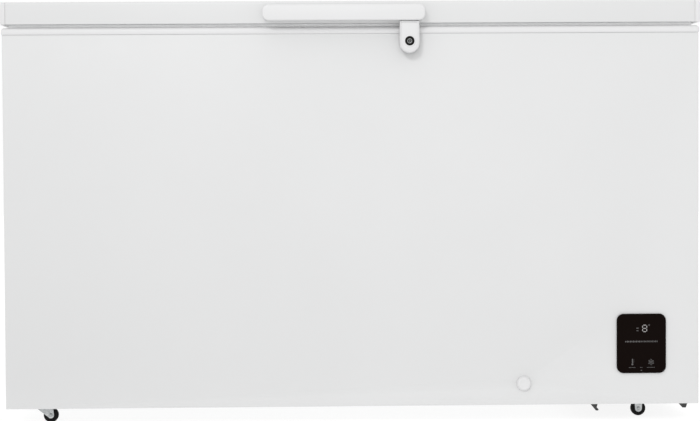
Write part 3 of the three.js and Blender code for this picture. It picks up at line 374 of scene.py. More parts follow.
materials = {
    name: make().material
    for name, make in {
        "powder": powder_white, "plastic": plastic_white, "liner": liner_stucco, "zinc": zinc_plate,
        "enamel": black_enamel, "panel": panel_gloss, "black": black_plastic, "grey": grey_plastic,
        "seal": seal_rubber, "tyre": tyre_black, "rubber": mount_rubber, "copper": copper_tube,
        "foam": foam_block, "board": circuit_green, "vinyl": coated_wire, "lock": lock_metal,
        "floor": floor_pale,
    }.items()
}
materials["lit"] = display_mark("display_lit", 0.32).material
materials["dim"] = display_mark("display_dim", 0.085).material
materials["faint"] = display_mark("display_faint", 0.07).material


# ---- Mesh tools --------------------------------------------------------------------------------

SHARP_ANGLE = 30.0  # degrees; edges that turn by more than this are rounded


def finish_piece(bm, name, body, material, replaces=(), smooth=32.0):
    """Turns a bmesh into a piece that rides on a CAD body."""
    bmesh.ops.recalc_face_normals(bm, faces=bm.faces)
    mesh = bpy.data.meshes.new(name)
    bm.to_mesh(mesh)
    bm.free()
    mesh.shade_smooth()
    mesh.set_sharp_from_angle(angle=math.radians(smooth))
    mesh.materials.append(materials[material])
    piece = bpy.data.objects.new(name, mesh)
    bpy.context.scene.collection.objects.link(piece)
    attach(piece, body)
    if replaces:
        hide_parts(*replaces)
    return piece


def sharp_edges(bm):
    """Edges worth rounding, where two faces meet at a clear angle."""
    limit = math.radians(SHARP_ANGLE)
    return [edge for edge in bm.edges if edge.is_manifold and edge.calc_face_angle(0.0) >= limit]


def solid_from_node(node):
    """The CAD node's surface with its triangles merged back into flat faces."""
    bm = bmesh.new()
    bm.from_mesh(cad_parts[node].data)
    bmesh.ops.remove_doubles(bm, verts=bm.verts, dist=2e-6)
    bmesh.ops.dissolve_limit(
        bm, angle_limit=math.radians(0.5), verts=bm.verts, edges=bm.edges, use_dissolve_boundaries=False
    )
    return bm


def round_edges(bm, edges, width, segments=2):
    bmesh.ops.bevel(
        bm, geom=edges, offset=width, offset_type="OFFSET", segments=segments, profile=0.5,
        affect="EDGES", clamp_overlap=True,
    )


def softened(node, name, body, material, width, segments=2):
    """A CAD node with its edges rounded as a moulded or folded part's are."""
    bm = solid_from_node(node)
    round_edges(bm, sharp_edges(bm), width, segments)
    return finish_piece(bm, name, body, material, [node])


def add_lathe(bm, profile, centre, axis, segments=48, closed=False):
    """Revolves (radius, height) points about an axis through centre; height runs along the axis."""
    axis = Vector(axis).normalized()
    side = axis.orthogonal().normalized()
    third = axis.cross(side)
    rings = []
    for radius, height in profile:
        middle = Vector(centre) + axis * height
        if radius < 1e-9:
            rings.append([bm.verts.new(middle)])
            continue
        ring = []
        for k in range(segments):
            angle = 2 * math.pi * k / segments
            ring.append(bm.verts.new(middle + radius * (math.cos(angle) * side + math.sin(angle) * third)))
        rings.append(ring)
    pairs = list(zip(rings, rings[1:]))
    if closed:
        pairs.append((rings[-1], rings[0]))
    for first, second in pairs:
        for k in range(segments):
            j = (k + 1) % segments
            corners = [ring[i % len(ring)] for ring, i in ((first, k), (first, j), (second, j), (second, k))]
            unique = list(dict.fromkeys(corners))
            if len(unique) > 2:
                bm.faces.new(unique)


def add_tube(bm, points, radius, sides=10, closed=False, caps=True):
    """A round bar along points, carried without twist."""
    points = [Vector(p) for p in points]
    count = len(points)
    normal = None
    rings = []
    for i, point in enumerate(points):
        before = points[i - 1] if i > 0 or closed else points[i]
        after = points[(i + 1) % count] if i < count - 1 or closed else points[i]
        tangent = (after - before).normalized()
        normal = tangent.orthogonal() if normal is None else normal - tangent * normal.dot(tangent)
        normal.normalize()
        side = tangent.cross(normal)
        rings.append([
            bm.verts.new(point + radius * (math.cos(2 * math.pi * k / sides) * normal
                                           + math.sin(2 * math.pi * k / sides) * side))
            for k in range(sides)
        ])
    spans = count if closed else count - 1
    for i in range(spans):
        first, second = rings[i], rings[(i + 1) % count]
        offset = 0
        if closed and i == spans - 1:
            offset = min(range(sides), key=lambda s: (second[s].co - first[0].co).length)
        for k in range(sides):
            j = (k + 1) % sides
            bm.faces.new([first[k], first[j], second[(j + offset) % sides], second[(k + offset) % sides]])
    if caps and not closed:
        bm.faces.new(rings[0][::-1])
        bm.faces.new(rings[-1])


def bent_points(corners, bend, steps=5):
    """Points along straight runs with each corner rounded to a bend radius."""
    corners = [Vector(c) for c in corners]
    points = [corners[0]]
    for before, corner, after in zip(corners, corners[1:], corners[2:]):
        back = (before - corner).normalized()
        on = (after - corner).normalized()
        half = back.angle(on) / 2
        reach = min(bend / math.tan(half), 0.45 * (before - corner).length, 0.45 * (after - corner).length)
        for k in range(steps + 1):
            t = k / steps
            start = corner + back * reach
            end = corner + on * reach
            points.append(start * (1 - t) ** 2 + corner * 2 * t * (1 - t) + end * t ** 2)
    points.append(corners[-1])
    return points


def add_frame_sweep(bm, section, half_x, half_y, radius, centre=(0.0, 0.0), steps=8):
    """Sweeps a closed section of (outward, height) points round a rounded rectangle."""
    smallest = 0.5 * MM
    loops = []
    for outward, height in section:
        a, b = half_x + outward, half_y + outward
        r = max(radius + outward, smallest)
        loop = []
        for quarter, (sx, sy) in enumerate([(1, 1), (-1, 1), (-1, -1), (1, -1)]):
            for k in range(steps + 1):
                angle = math.pi / 2 * (quarter + k / steps)
                loop.append(bm.verts.new((
                    centre[0] + sx * (a - r) + r * math.cos(angle),
                    centre[1] + sy * (b - r) + r * math.sin(angle), height)))
        loops.append(loop)
    count = len(loops[0])
    for i, loop in enumerate(loops):
        following = loops[(i + 1) % len(loops)]
        for k in range(count):
            j = (k + 1) % count
            bm.faces.new([loop[k], loop[j], following[j], following[k]])


def add_dish(bm, stations, steps=6):
    """A closed skin through level rounded rectangles of (half_x, half_y, radius, height)."""
    loops = []
    for half_x, half_y, radius, height in stations:
        outline = rounded_outline(half_x, half_y, radius, steps)
        loops.append([bm.verts.new((x, y, height)) for x, y in outline])
    for first, second in zip(loops, loops[1:]):
        for k in range(len(first)):
            j = (k + 1) % len(first)
            bm.faces.new([first[k], first[j], second[j], second[k]])
    bm.faces.new(loops[0][::-1])
    bm.faces.new(loops[-1])


def rounded_outline(half_x, half_z, radius, steps=10):
    """Points round a rounded rectangle, anticlockwise from the right."""
    points = []
    for quarter, (sx, sz) in enumerate([(1, 1), (-1, 1), (-1, -1), (1, -1)]):
        for k in range(steps + 1):
            angle = math.pi / 2 * (quarter + k / steps)
            points.append((sx * (half_x - radius) + radius * math.cos(angle),
                           sz * (half_z - radius) + radius * math.sin(angle)))
    return points


def add_plate(bm, outline, place, front, back, edge=0.0, segments=4, cap_back=True):
    """A plate whose face looks towards -Y, with its front edge rounded.

    outline gives (x, z) points about place; they are drawn in towards the face round the edge.
    """
    x0, z0 = place
    loops = []
    middle = Vector((sum(p[0] for p in outline), sum(p[1] for p in outline))) / len(outline)
    stations = [(0.0, back)]
    for k in range(segments + 1):
        angle = math.pi / 2 * k / segments
        stations.append((edge * (1 - math.cos(angle)), front + edge * (1 - math.sin(angle))))
    if edge == 0.0:
        stations = [(0.0, back), (0.0, front)]
    count = len(outline)
    for inset, depth in stations:
        loop = []
        for i, (x, z) in enumerate(outline):
            before = Vector(outline[i - 1])
            after = Vector(outline[(i + 1) % count])
            along = (after - before).normalized()
            inward = Vector((-along.y, along.x))
            if inward.dot(middle - Vector((x, z))) < 0:
                inward = -inward
            loop.append(bm.verts.new((x0 + x + inward.x * inset, depth, z0 + z + inward.y * inset)))
        loops.append(loop)
    for first, second in zip(loops, loops[1:]):
        for k in range(count):
            j = (k + 1) % count
            bm.faces.new([first[k], first[j], second[j], second[k]])
    bm.faces.new(loops[-1])
    if cap_back:
        bm.faces.new(loops[0][::-1])


def add_block(bm, low, high):
    low, high = Vector(low), Vector(high)
    made = bmesh.ops.create_cube(bm, size=1.0)
    for vertex in made["verts"]:
        for axis in range(3):
            vertex.co[axis] = low[axis] if vertex.co[axis] < 0 else high[axis]
    return made["verts"]


def add_screw(bm, place, axis, radius, height):
    """A domed head with a round sunk centre, standing on a surface at place."""
    axis = Vector(axis).normalized()
    profile = [(radius, 0.0), (radius, height * 0.35), (radius * 0.85, height * 0.75),
               (radius * 0.5, height), (radius * 0.34, height), (0.0, height * 0.45)]
    add_lathe(bm, profile, place, axis, 20)
    add_lathe(bm, [(0.0, 0.0), (radius, 0.0)], place, axis, 20)
    bmesh.ops.remove_doubles(bm, verts=bm.verts, dist=1e-7)


def mirrored(profile):
    """The other half of a (radius, height) profile that is the same above and below its middle."""
    return [(radius, -height) for radius, height in reversed(profile)]


def middle_of(node):
    low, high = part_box(node)
    return (low + high) / 2


# ---- Cabinet -----------------------------------------------------------------------------------

LINER_SHEET = 0.8 * MM
LINER_STEP = (395 * MM, 340 * MM)  # the tub's floor steps up here, over the machine compartment
LINER_FOLD = 15 * MM
DRAIN_RADIUS = 9 * MM


def cabinet_sheet():
    softened("cabinet_shell", "cabinet_sheet", "cabinet", "powder", 0.35 * MM, 2)


def rim():
    """The moulded collar: rolled outer lip, flat landing for the seal, skirt and basket ledge."""
    low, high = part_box("top_frame")
    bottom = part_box("cabinet_shell")[1].z + 0.3 * MM
    half_x, half_y = high.x, high.y
    top = high.z
    reach = 69.2 * MM  # from the outer lip in to the skirt's inner face
    ledge_top = low.z + 3 * MM
    section = [
        (-1.6 * MM, bottom), (-0.5 * MM, bottom + 1.2 * MM), (0.0, bottom + 3.0 * MM),
        (0.0, bottom + 6.4 * MM), (-0.4 * MM, bottom + 8.8 * MM), (-1.3 * MM, bottom + 10.9 * MM),
        (-2.7 * MM, bottom + 12.6 * MM), (-4.7 * MM, top - 0.5 * MM), (-7.2 * MM, top), (-9.0 * MM, top),
        (-9.6 * MM, top - 0.7 * MM),
        (-29.5 * MM, top - 0.7 * MM),
        (-30.2 * MM, top), (-reach + 2.2 * MM, top), (-reach + 0.6 * MM, top - 0.6 * MM),
        (-reach, top - 2.2 * MM), (-reach, ledge_top + 1.2 * MM),
        (-reach - 0.4 * MM, ledge_top + 0.3 * MM), (-reach - 1.2 * MM, ledge_top),
        (-reach - 10.4 * MM, ledge_top), (-reach - 11.0 * MM, ledge_top - 0.6 * MM),
        (-reach - 11.0 * MM, low.z + 0.6 * MM), (-reach - 10.4 * MM, low.z),
        (-reach + 2.8 * MM, low.z), (-reach + 3.0 * MM, low.z + 1 * MM), (-reach + 3.0 * MM, bottom),
    ]
    bm = bmesh.new()
    add_frame_sweep(bm, section, half_x, half_y, 7 * MM)
    finish_piece(bm, "rim", "cabinet", "plastic", ["top_frame"], 40)


def liner():
    """The embossed tub: a stepped box, open at the top, with rounded folds and a drain hole."""
    low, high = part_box("inner_liner")
    drain_low, drain_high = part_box("drain_stopper")
    floor = low.z + LINER_SHEET
    left, right = low.x + LINER_SHEET, high.x - LINER_SHEET
    side = [
        (left, floor), (LINER_STEP[0], floor), LINER_STEP, (right, LINER_STEP[1]),
        (right, high.z), (left, high.z),
    ]
    bm = bmesh.new()
    ends = [[bm.verts.new((x, y, z)) for x, z in side] for y in (low.y + LINER_SHEET, high.y - LINER_SHEET)]
    for k in range(len(side)):
        j = (k + 1) % len(side)
        bm.faces.new([ends[0][k], ends[0][j], ends[1][j], ends[1][k]])
    bm.faces.new(ends[0][::-1])
    bm.faces.new(ends[1])
    folds = [edge for edge in bm.edges if min(v.co.z for v in edge.verts) < high.z - 1 * MM]
    round_edges(bm, folds, LINER_FOLD, 5)
    lids = [face for face in bm.faces if min(v.co.z for v in face.verts) > high.z - 1 * MM]
    bmesh.ops.delete(bm, geom=lids, context="FACES_ONLY")

    floor_face = min(bm.faces, key=lambda face: face.calc_center_median().z)
    border = list(floor_face.edges)
    bmesh.ops.delete(bm, geom=[floor_face], context="FACES_ONLY")
    x, y = (drain_low.x + drain_high.x) / 2, (drain_low.y + drain_high.y) / 2
    ring = []
    for k in range(32):
        angle = 2 * math.pi * k / 32
        dx, dy = DRAIN_RADIUS * math.cos(angle), DRAIN_RADIUS * math.sin(angle)
        ring.append(bm.verts.new((x + dx, y + dy, floor)))
    border += [bm.edges.new((ring[k - 1], ring[k])) for k in range(len(ring))]
    bmesh.ops.triangle_fill(bm, use_beauty=True, use_dissolve=False, edges=border)
    bmesh.ops.recalc_face_normals(bm, faces=bm.faces)
    bmesh.ops.solidify(bm, geom=bm.faces[:], thickness=-LINER_SHEET)
    finish_piece(bm, "liner_tub", "cabinet", "liner", ["inner_liner"], 40)


def panels():
    """Sheet and moulded parts of the cabinet that only need their edges rounded."""
    for node, name, material, slot, width, segments in (
        ("rear_panel", "back_sheet", "powder", "white_paint", 0.3, 2),
        ("bottom_panel", "base_pan", "zinc", "zinc", 0.45, 2),
        ("compressor_bulkhead", "bulkhead", "zinc", "zinc", 0.4, 2),
        ("compressor_base_plate", "base_rail", "enamel", "dark_steel", 0.7, 2),
        ("lock_keeper", "keeper", "zinc", "zinc", 0.35, 2),
        ("relay_box", "relay_cover", "black", "black_plastic", 2.5, 3),
        ("cord_gland", "lead_gland", "black", "black_plastic", 0.6, 2),
    ):
        softened(node, name, "cabinet", material, width * MM, segments)


def grille():
    """The louvred vent on the right side, with a leaning blade in each slot."""
    bm = solid_from_node("side_grille")
    round_edges(bm, sharp_edges(bm), 0.5 * MM, 2)
    low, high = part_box("side_grille")
    middle_y = (low.y + high.y) / 2
    for side in (-1, 1):
        for row in range(9):
            z = 95 * MM + row * 17.5 * MM
            y0 = middle_y + side * 54 * MM - 46 * MM
            blade = [(low.x - 4 * MM, z + 1.6 * MM), (high.x - 0.4 * MM, z - 2.4 * MM),
                     (high.x - 0.4 * MM, z - 1.4 * MM), (low.x - 4 * MM, z + 2.6 * MM)]
            ends = [[bm.verts.new((x, y, zz)) for x, zz in blade] for y in (y0 - 0.5 * MM, y0 + 92.5 * MM)]
            for k in range(4):
                j = (k + 1) % 4
                bm.faces.new([ends[0][k], ends[0][j], ends[1][j], ends[1][k]])
            bm.faces.new(ends[0][::-1])
            bm.faces.new(ends[1])
    finish_piece(bm, "vent_grille", "cabinet", "plastic", ["side_grille"])


# ---- Lid ---------------------------------------------------------------------------------------

SEAL_WIDTH = 14  # mm
TRAY_SHEET = 1.2 * MM
TRAY_RAISED = (612 * MM, 236 * MM)  # half width and half depth of the part that enters the bay


def lid_shell():
    softened("lid_skin", "lid_sheet", "lid", "powder", 0.35 * MM, 2)
    softened("lid_cap_left", "lid_end_left", "lid", "plastic", 0.8 * MM, 3)
    softened("lid_cap_right", "lid_end_right", "lid", "plastic", 0.8 * MM, 3)


def lid_tray():
    """The lid's moulded inner tray: a flange, a coved shoulder and a raised part that enters the bay."""
    low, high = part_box("lid_liner")
    flange_x, flange_y = high.x, high.y
    flange = high.z - TRAY_SHEET + 0.2 * MM
    raised_x, raised_y = TRAY_RAISED
    hollow = [
        (raised_x - 1.8 * MM, raised_y - 1.8 * MM, 0.8 * MM, low.z + 1.2 * MM),
        (raised_x - 1.2 * MM, raised_y - 1.2 * MM, 1.2 * MM, low.z + 1.9 * MM),
        (raised_x - 1.2 * MM, raised_y - 1.2 * MM, 1.2 * MM, high.z),
    ]
    outside = [
        (flange_x, flange_y, 3 * MM, high.z), (flange_x, flange_y, 3 * MM, flange),
        (raised_x + 2.6 * MM, raised_y + 2.6 * MM, 5.8 * MM, flange),
        (raised_x + 1.0 * MM, raised_y + 1.0 * MM, 4.2 * MM, flange - 0.5 * MM),
        (raised_x + 0.2 * MM, raised_y + 0.2 * MM, 3.4 * MM, flange - 1.6 * MM),
        (raised_x, raised_y, 3.2 * MM, flange - 3.0 * MM),
    ]
    for k in range(6):
        angle = math.pi / 2 * k / 5
        inset = 3.1 * MM * (1 - math.cos(angle))
        drop = 3.1 * MM * (1 - math.sin(angle))
        outside.append((raised_x - inset, raised_y - inset, 3.2 * MM - inset, low.z + drop))
    bm = bmesh.new()
    add_dish(bm, hollow + outside)
    finish_piece(bm, "lid_tray", "lid", "liner", ["lid_liner"], 40)


def seal():
    """The soft seal: a rounded bead, widest a little above the rim."""
    low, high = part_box("lid_gasket")
    height = high.z - low.z
    # (inset in mm, share of the height) up the outer side; the inner side mirrors it
    outer = [(0.9, 0.0), (0.25, 0.12), (0.0, 0.3), (0.1, 0.5), (0.4, 0.7), (0.9, 0.86), (1.1, 1.0)]
    section = [(-inset * MM, low.z + share * height) for inset, share in outer]
    section += [((inset - SEAL_WIDTH) * MM, low.z + share * height) for inset, share in reversed(outer)]
    bm = bmesh.new()
    add_frame_sweep(bm, section, high.x, high.y, 8 * MM)
    finish_piece(bm, "lid_seal", "lid", "seal", ["lid_gasket"], 40)


def grip():
    softened("handle", "grip", "lid", "plastic", 0.9 * MM, 3)


def lock_measures():
    """The key cylinder's middle across and up, its radius, and the depth of the tab's face."""
    low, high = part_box("lock_cylinder")
    radius = (high.x - low.x) / 2
    return middle_of("lock_cylinder").x, high.z - radius, radius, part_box("lock_tab")[0].y


def lock_collar():
    """The raised ring round the key cylinder."""
    x, z, radius, face = lock_measures()
    bm = bmesh.new()
    collar = [(radius + 0.25 * MM, 1.0 * MM), (radius + 0.3 * MM, -0.7 * MM), (radius + 0.8 * MM, -1.1 * MM),
              (radius + 1.8 * MM, -1.15 * MM), (radius + 2.7 * MM, -0.7 * MM), (radius + 3.2 * MM, 0.0),
              (radius + 3.3 * MM, 1.0 * MM)]
    add_lathe(bm, collar, (x, face, z), (0, 1, 0), 64, closed=True)
    finish_piece(bm, "lock_collar", "lid", "plastic")


def lock_border():
    """A bead that follows the tab's outline."""
    x, _, _, face = lock_measures()
    tab_low, tab_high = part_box("lock_tab")
    inset = 2.6 * MM
    arc = (tab_high.x - tab_low.x) / 2 - inset
    foot = tab_low.z + arc + inset
    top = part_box("handle")[0].z - 4 * MM
    turns = [math.pi * (1 + k / 16) for k in range(17)]
    border = [(x + arc * math.cos(a), face - 0.1 * MM, foot + arc * math.sin(a)) for a in turns]
    border += [(x + arc, face - 0.1 * MM, top), (x - arc, face - 0.1 * MM, top)]
    bm = bmesh.new()
    add_tube(bm, border, 1.1 * MM, 10, closed=True)
    finish_piece(bm, "lock_border", "lid", "plastic")


def key_cylinder():
    """The black cylinder: a dished face, low bars that mark the keyway, and the cam at its back end."""
    x, z, radius, _ = lock_measures()
    front, back = (corner.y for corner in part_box("lock_cylinder"))
    bm = bmesh.new()
    core = [
        (0.0, 1.6 * MM), (2.6 * MM, 1.4 * MM), (5.6 * MM, 1.1 * MM), (5.9 * MM, 0.4 * MM),
        (6.6 * MM, 0.3 * MM), (7.0 * MM, 0.9 * MM), (7.6 * MM, 0.9 * MM), (8.2 * MM, 0.2 * MM),
        (radius - 0.1 * MM, 0.3 * MM), (radius, 0.9 * MM), (radius, 14.5 * MM),
        (4.0 * MM, 14.6 * MM), (4.0 * MM, back - front), (0.0, back - front),
    ]
    add_lathe(bm, core, (x, front, z), (0, 1, 0), 64)
    bar_front = front + 0.9 * MM
    for width, height, dx, dz in ((1.3, 6.4, 0.0, 0.0), (2.6, 1.4, 0.9, -1.2)):
        add_block(bm, (x + (dx - width / 2) * MM, bar_front, z + (dz - height / 2) * MM),
                  (x + (dx + width / 2) * MM, bar_front + 1.2 * MM, z + (dz + height / 2) * MM))
    half_cam = [(4.0, 0.0), (4.0, -13.0), (2.8, -15.0), (1.0, -15.5)]
    cam_outline = [(-px, pz) for px, pz in half_cam] + half_cam[::-1]
    add_plate(bm, [(px * MM, pz * MM) for px, pz in cam_outline], (x, z), back - 2.5 * MM, back, 0.3 * MM, 2)
    finish_piece(bm, "key_cylinder", "lock", "lock", ["lock_cylinder"])


def key_glint_washer():
    """A bright washer and two bright strips on the cylinder's face, round the keyway's bars; their brightness
    stands in for the glints on the dark face, a painted highlight.
    """
    x, z, _, _ = lock_measures()
    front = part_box("lock_cylinder")[0].y
    bm = bmesh.new()
    washer = [(3.9 * MM, 1.35 * MM), (3.9 * MM, 0.95 * MM), (4.15 * MM, 0.85 * MM), (4.6 * MM, 0.9 * MM),
              (4.8 * MM, 1.25 * MM)]
    add_lathe(bm, washer, (x, front, z), (0, 1, 0), 48, closed=True)
    for side in (-1, 1):
        edge = x + side * 0.95 * MM
        add_block(bm, (edge - 0.22 * MM, front + 0.8 * MM, z - 3.1 * MM),
                  (edge + 0.22 * MM, front + 1.6 * MM, z + 3.1 * MM))
    finish_piece(bm, "key_glint_washer", "lock", "zinc")


def lock():
    softened("lock_tab", "lock_tongue", "lid", "plastic", 0.7 * MM, 3)
    lock_collar()
    lock_border()
    key_cylinder()
    key_glint_washer()


# ---- Controls and drain ------------------------------------------------------------------------

MARK_PROUD, MARK_SUNK = 0.12 * MM, 0.05 * MM  # how far a display mark stands out of, and goes into, the panel
DIGIT_X, DIGIT_Z = 6.6, 30.5  # the figure's middle, in mm from the panel's middle
# Parts on the circuit card: across and up from the panel's middle, width, height and thickness, in mm.
CARD_PARTS = [
    (-20, 25, 22, 12, 6), (18, 22, 14, 14, 4), (-16, -18, 16, 20, 9), (20, -25, 10, 24, 7), (4, 2, 8, 8, 2),
]


def display_bar(bm, x, z, half_x, half_z, face):
    """A thin printed or lit stroke with round ends, just proud of the panel's face."""
    radius = min(half_x, half_z) * 0.98
    add_plate(bm, rounded_outline(half_x, half_z, radius, 4), (x, z), face - MARK_PROUD, face + MARK_SUNK)


def display_line(bm, start, end, half_width, face):
    """A stroke between two (x, z) points."""
    start, end = Vector(start), Vector(end)
    along = (end - start).normalized() * half_width
    across = Vector((-along.y, along.x))
    corners = [start - along - across, end + along - across, end + along + across, start - along + across]
    add_plate(bm, [tuple(c) for c in corners], (0, 0), face - MARK_PROUD, face + MARK_SUNK)


def display_figure(at, face):
    """The lit figure, of seven strokes."""
    lit = bmesh.new()
    half_w, half_h = 4.2, 6.6
    for dz in (-half_h, 0.0, half_h):
        x, z = at(DIGIT_X, DIGIT_Z + dz)
        display_bar(lit, x, z, 2.9 * MM, 0.7 * MM, face)
    for dx in (-half_w, half_w):
        for dz in (-half_h / 2, half_h / 2):
            x, z = at(DIGIT_X + dx, DIGIT_Z + dz)
            display_bar(lit, x, z, 0.7 * MM, 2.3 * MM, face)
    finish_piece(lit, "display_figure", "cabinet", "lit")


def display_icons(at, face):
    """The dash before the figure, the brighter half of the level marks, a snowflake and a thermometer."""
    dim = bmesh.new()
    x, z = at(-8.0, DIGIT_Z + 0.6)
    display_bar(dim, x, z, 2.5 * MM, 0.7 * MM, face)
    for k in range(11):
        x, z = at(-32.0 + 3.15 * k, 4.0)
        display_bar(dim, x, z, 0.95 * MM, (1.85 if k % 2 else 1.5) * MM, face)
    flake_x, flake_z = at(19.6, -38.0)
    for k in range(3):
        angle = math.radians(90 + 60 * k)
        reach = Vector((math.cos(angle), math.sin(angle))) * 6.2 * MM
        start, end = (flake_x - reach.x, flake_z - reach.y), (flake_x + reach.x, flake_z + reach.y)
        display_line(dim, start, end, 0.36 * MM, face)
    for k in range(6):
        angle = math.radians(30 + 60 * k)
        spoke = Vector((math.cos(angle), math.sin(angle)))
        root = Vector((flake_x, flake_z)) + spoke * 3.0 * MM
        for lean in (-1, 1):
            tip = root + Matrix.Rotation(lean * math.radians(48), 2) @ spoke * 2.3 * MM
            display_line(dim, root, tip, 0.3 * MM, face)
    bulb_x, bulb_z = at(-18.4, -42.2)
    bulb = rounded_outline(1.9 * MM, 1.9 * MM, 1.89 * MM, 5)
    add_plate(dim, bulb, (bulb_x, bulb_z), face - MARK_PROUD, face + MARK_SUNK)
    display_bar(dim, bulb_x, bulb_z + 6.0 * MM, 0.85 * MM, 5.2 * MM, face)
    for k in range(3):
        display_bar(dim, bulb_x + 2.7 * MM, bulb_z + (4.4 + 2.4 * k) * MM, 0.75 * MM, 0.28 * MM, face)
    finish_piece(dim, "display_icons", "cabinet", "dim")


def display_dashes(at, face):
    """The fainter level marks, the dashes under the icons and the small ring after the figure."""
    faint = bmesh.new()
    for k in range(11):
        x, z = at(2.8 + 2.9 * k, 4.0)
        display_bar(faint, x, z, 0.8 * MM, (1.85 if k % 2 else 1.5) * MM, face)
    for start, count in ((-24.5, 5), (-1.9, 2), (11.8, 6)):
        for k in range(count):
            x, z = at(start + 2.8 * k, -48.8)
            display_bar(faint, x, z, 1.0 * MM, 0.6 * MM, face)
    x, z = at(-0.2, -54.6)
    display_bar(faint, x, z, 1.6 * MM, 0.6 * MM, face)
    x, z = at(-8.0, DIGIT_Z - 4.6)
    display_bar(faint, x, z, 2.2 * MM, 0.7 * MM, face)
    for k in range(8):
        angle = 2 * math.pi * k / 8
        ring = Vector((math.cos(angle), math.sin(angle))) * 1.3 * MM
        x, z = at(15.6, DIGIT_Z + 6.6)
        display_bar(faint, x + ring.x, z + ring.y, 0.5 * MM, 0.5 * MM, face)
    finish_piece(faint, "display_dashes", "cabinet", "faint")


def circuit_card():
    """The board behind the panel, with a few parts on it."""
    middle = middle_of("control_panel")
    bm = solid_from_node("control_board")
    board_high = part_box("control_board")[1]
    for dx, dz, w, h, t in CARD_PARTS:
        x, z = middle.x + dx * MM, middle.z + dz * MM
        add_block(bm, (x - w / 2 * MM, board_high.y - 0.1 * MM, z - h / 2 * MM),
                  (x + w / 2 * MM, board_high.y + t * MM, z + h / 2 * MM))
    finish_piece(bm, "circuit_card", "cabinet", "board", ["control_board"])


def control_panel():
    """Gloss plate with a generic figure, a row of level marks and two icons over short dashes."""
    low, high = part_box("control_panel")
    middle = (low + high) / 2
    half_x, half_z = (high.x - low.x) / 2, (high.z - low.z) / 2
    bm = bmesh.new()
    outline = rounded_outline(half_x, half_z, 14 * MM, 16)
    add_plate(bm, outline, (middle.x, middle.z), low.y, high.y, 0.9 * MM, 5)
    finish_piece(bm, "panel_face", "cabinet", "panel", ["control_panel"])
    face = low.y

    def at(dx, dz):
        return middle.x + dx * MM, middle.z + dz * MM

    display_figure(at, face)
    display_icons(at, face)
    display_dashes(at, face)
    softened("control_housing", "panel_tray", "cabinet", "black", 0.7 * MM, 2)
    circuit_card()


def drain_knob():
    """The cap on the front: a low domed disc with a stem."""
    low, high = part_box("drain_cap")
    x, z = (low.x + high.x) / 2, (low.z + high.z) / 2
    radius = (high.x - low.x) / 2
    bm = bmesh.new()
    profile = [
        (0.0, 0.8 * MM), (8.8 * MM, 0.5 * MM), (10.6 * MM, 0.0), (11.8 * MM, 0.5 * MM), (12.9 * MM, 1.9 * MM),
        (13.8 * MM, 3.8 * MM), (radius - 0.6 * MM, 5.9 * MM), (radius, 6.8 * MM),
        (radius - 0.3 * MM, 7.0 * MM), (6.2 * MM, 7.0 * MM), (6.2 * MM, 21.0 * MM),
        (5.4 * MM, high.y - low.y), (0.0, high.y - low.y),
    ]
    add_lathe(bm, profile, (x, low.y, z), (0, 1, 0), 64)
    finish_piece(bm, "drain_knob", "drain_cap", "plastic", ["drain_cap"])


def bay_plug():
    """The stopper in the tub's floor: a stem under a wide, thin flange."""
    low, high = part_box("drain_stopper")
    x, y = (low.x + high.x) / 2, (low.y + high.y) / 2
    bm = bmesh.new()
    height = high.z - low.z
    profile = [
        (0.0, 0.0), (5.6 * MM, 0.0), (6.2 * MM, 1.2 * MM), (6.2 * MM, height - 3.0 * MM),
        (14.6 * MM, height - 3.0 * MM), (15.0 * MM, height - 2.4 * MM), (14.6 * MM, height - 1.2 * MM),
        (12.8 * MM, height - 0.6 * MM), (7.0 * MM, height - 0.6 * MM), (6.2 * MM, height), (0.0, height),
    ]
    add_lathe(bm, profile, (x, y, low.z), (0, 0, 1), 48)
    finish_piece(bm, "bay_plug", "drain_stopper", "grey", ["drain_stopper"])


def drain():
    drain_knob()
    bay_plug()
    softened("drain_tube", "drain_pipe", "cabinet", "grey", 0.4 * MM, 2)


# ---- Hinges ------------------------------------------------------------------------------------


def hinge_coil(side):
    """The coil spring round one hinge's pin."""
    node = f"hinge_spring_{side}"
    low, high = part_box(node)
    middle = (low + high) / 2
    wire = 1.4 * MM
    coil = (high.z - low.z) / 2 - wire
    turns, steps = 9, 22
    length = high.x - low.x - 2 * wire
    points = []
    for k in range(turns * steps + 1):
        angle = 2 * math.pi * k / steps
        along = low.x + wire + length * k / (turns * steps)
        points.append((along, middle.y + coil * math.cos(angle), middle.z + coil * math.sin(angle)))
    bm = bmesh.new()
    add_tube(bm, points, wire, 8)
    finish_piece(bm, f"hinge_coil_{side}", "cabinet", "enamel", [node], 60)


def hinges():
    for side in ("left", "right"):
        softened(f"hinge_base_{side}", f"hinge_channel_{side}", "cabinet", "zinc", 0.5 * MM, 2)
        softened(f"hinge_arm_{side}", f"hinge_leaf_{side}", "lid", "zinc", 0.5 * MM, 2)
        softened(f"hinge_pin_{side}", f"hinge_rivet_{side}", "cabinet", "zinc", 0.5 * MM, 2)
        hinge_coil(side)


# ---- Casters -----------------------------------------------------------------------------------


def caster_wheel(place):
    """One tyre: a thick disc with a hub, a hollow between hub and tread, and rounded shoulders."""
    node = f"caster_wheel_{place}"
    low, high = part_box(node)
    radius = (high.z - low.z) / 2
    half = (high.y - low.y) / 2
    side = [
        (2.3 * MM, -half + 0.2 * MM), (5.2 * MM, -half), (6.0 * MM, -half + 0.6 * MM),
        (8.6 * MM, -half + 1.1 * MM), (11.2 * MM, -half + 0.5 * MM), (13.0 * MM, -half),
        (14.0 * MM, -half + 0.35 * MM), (14.7 * MM, -half + 1.2 * MM), (radius, -half + 2.6 * MM),
    ]
    bm = bmesh.new()
    add_lathe(bm, side + mirrored(side), (low + high) / 2, (0, 1, 0), 64, closed=True)
    finish_piece(bm, f"tread_{place}", f"wheel_{place}", "tyre", [node], 40)


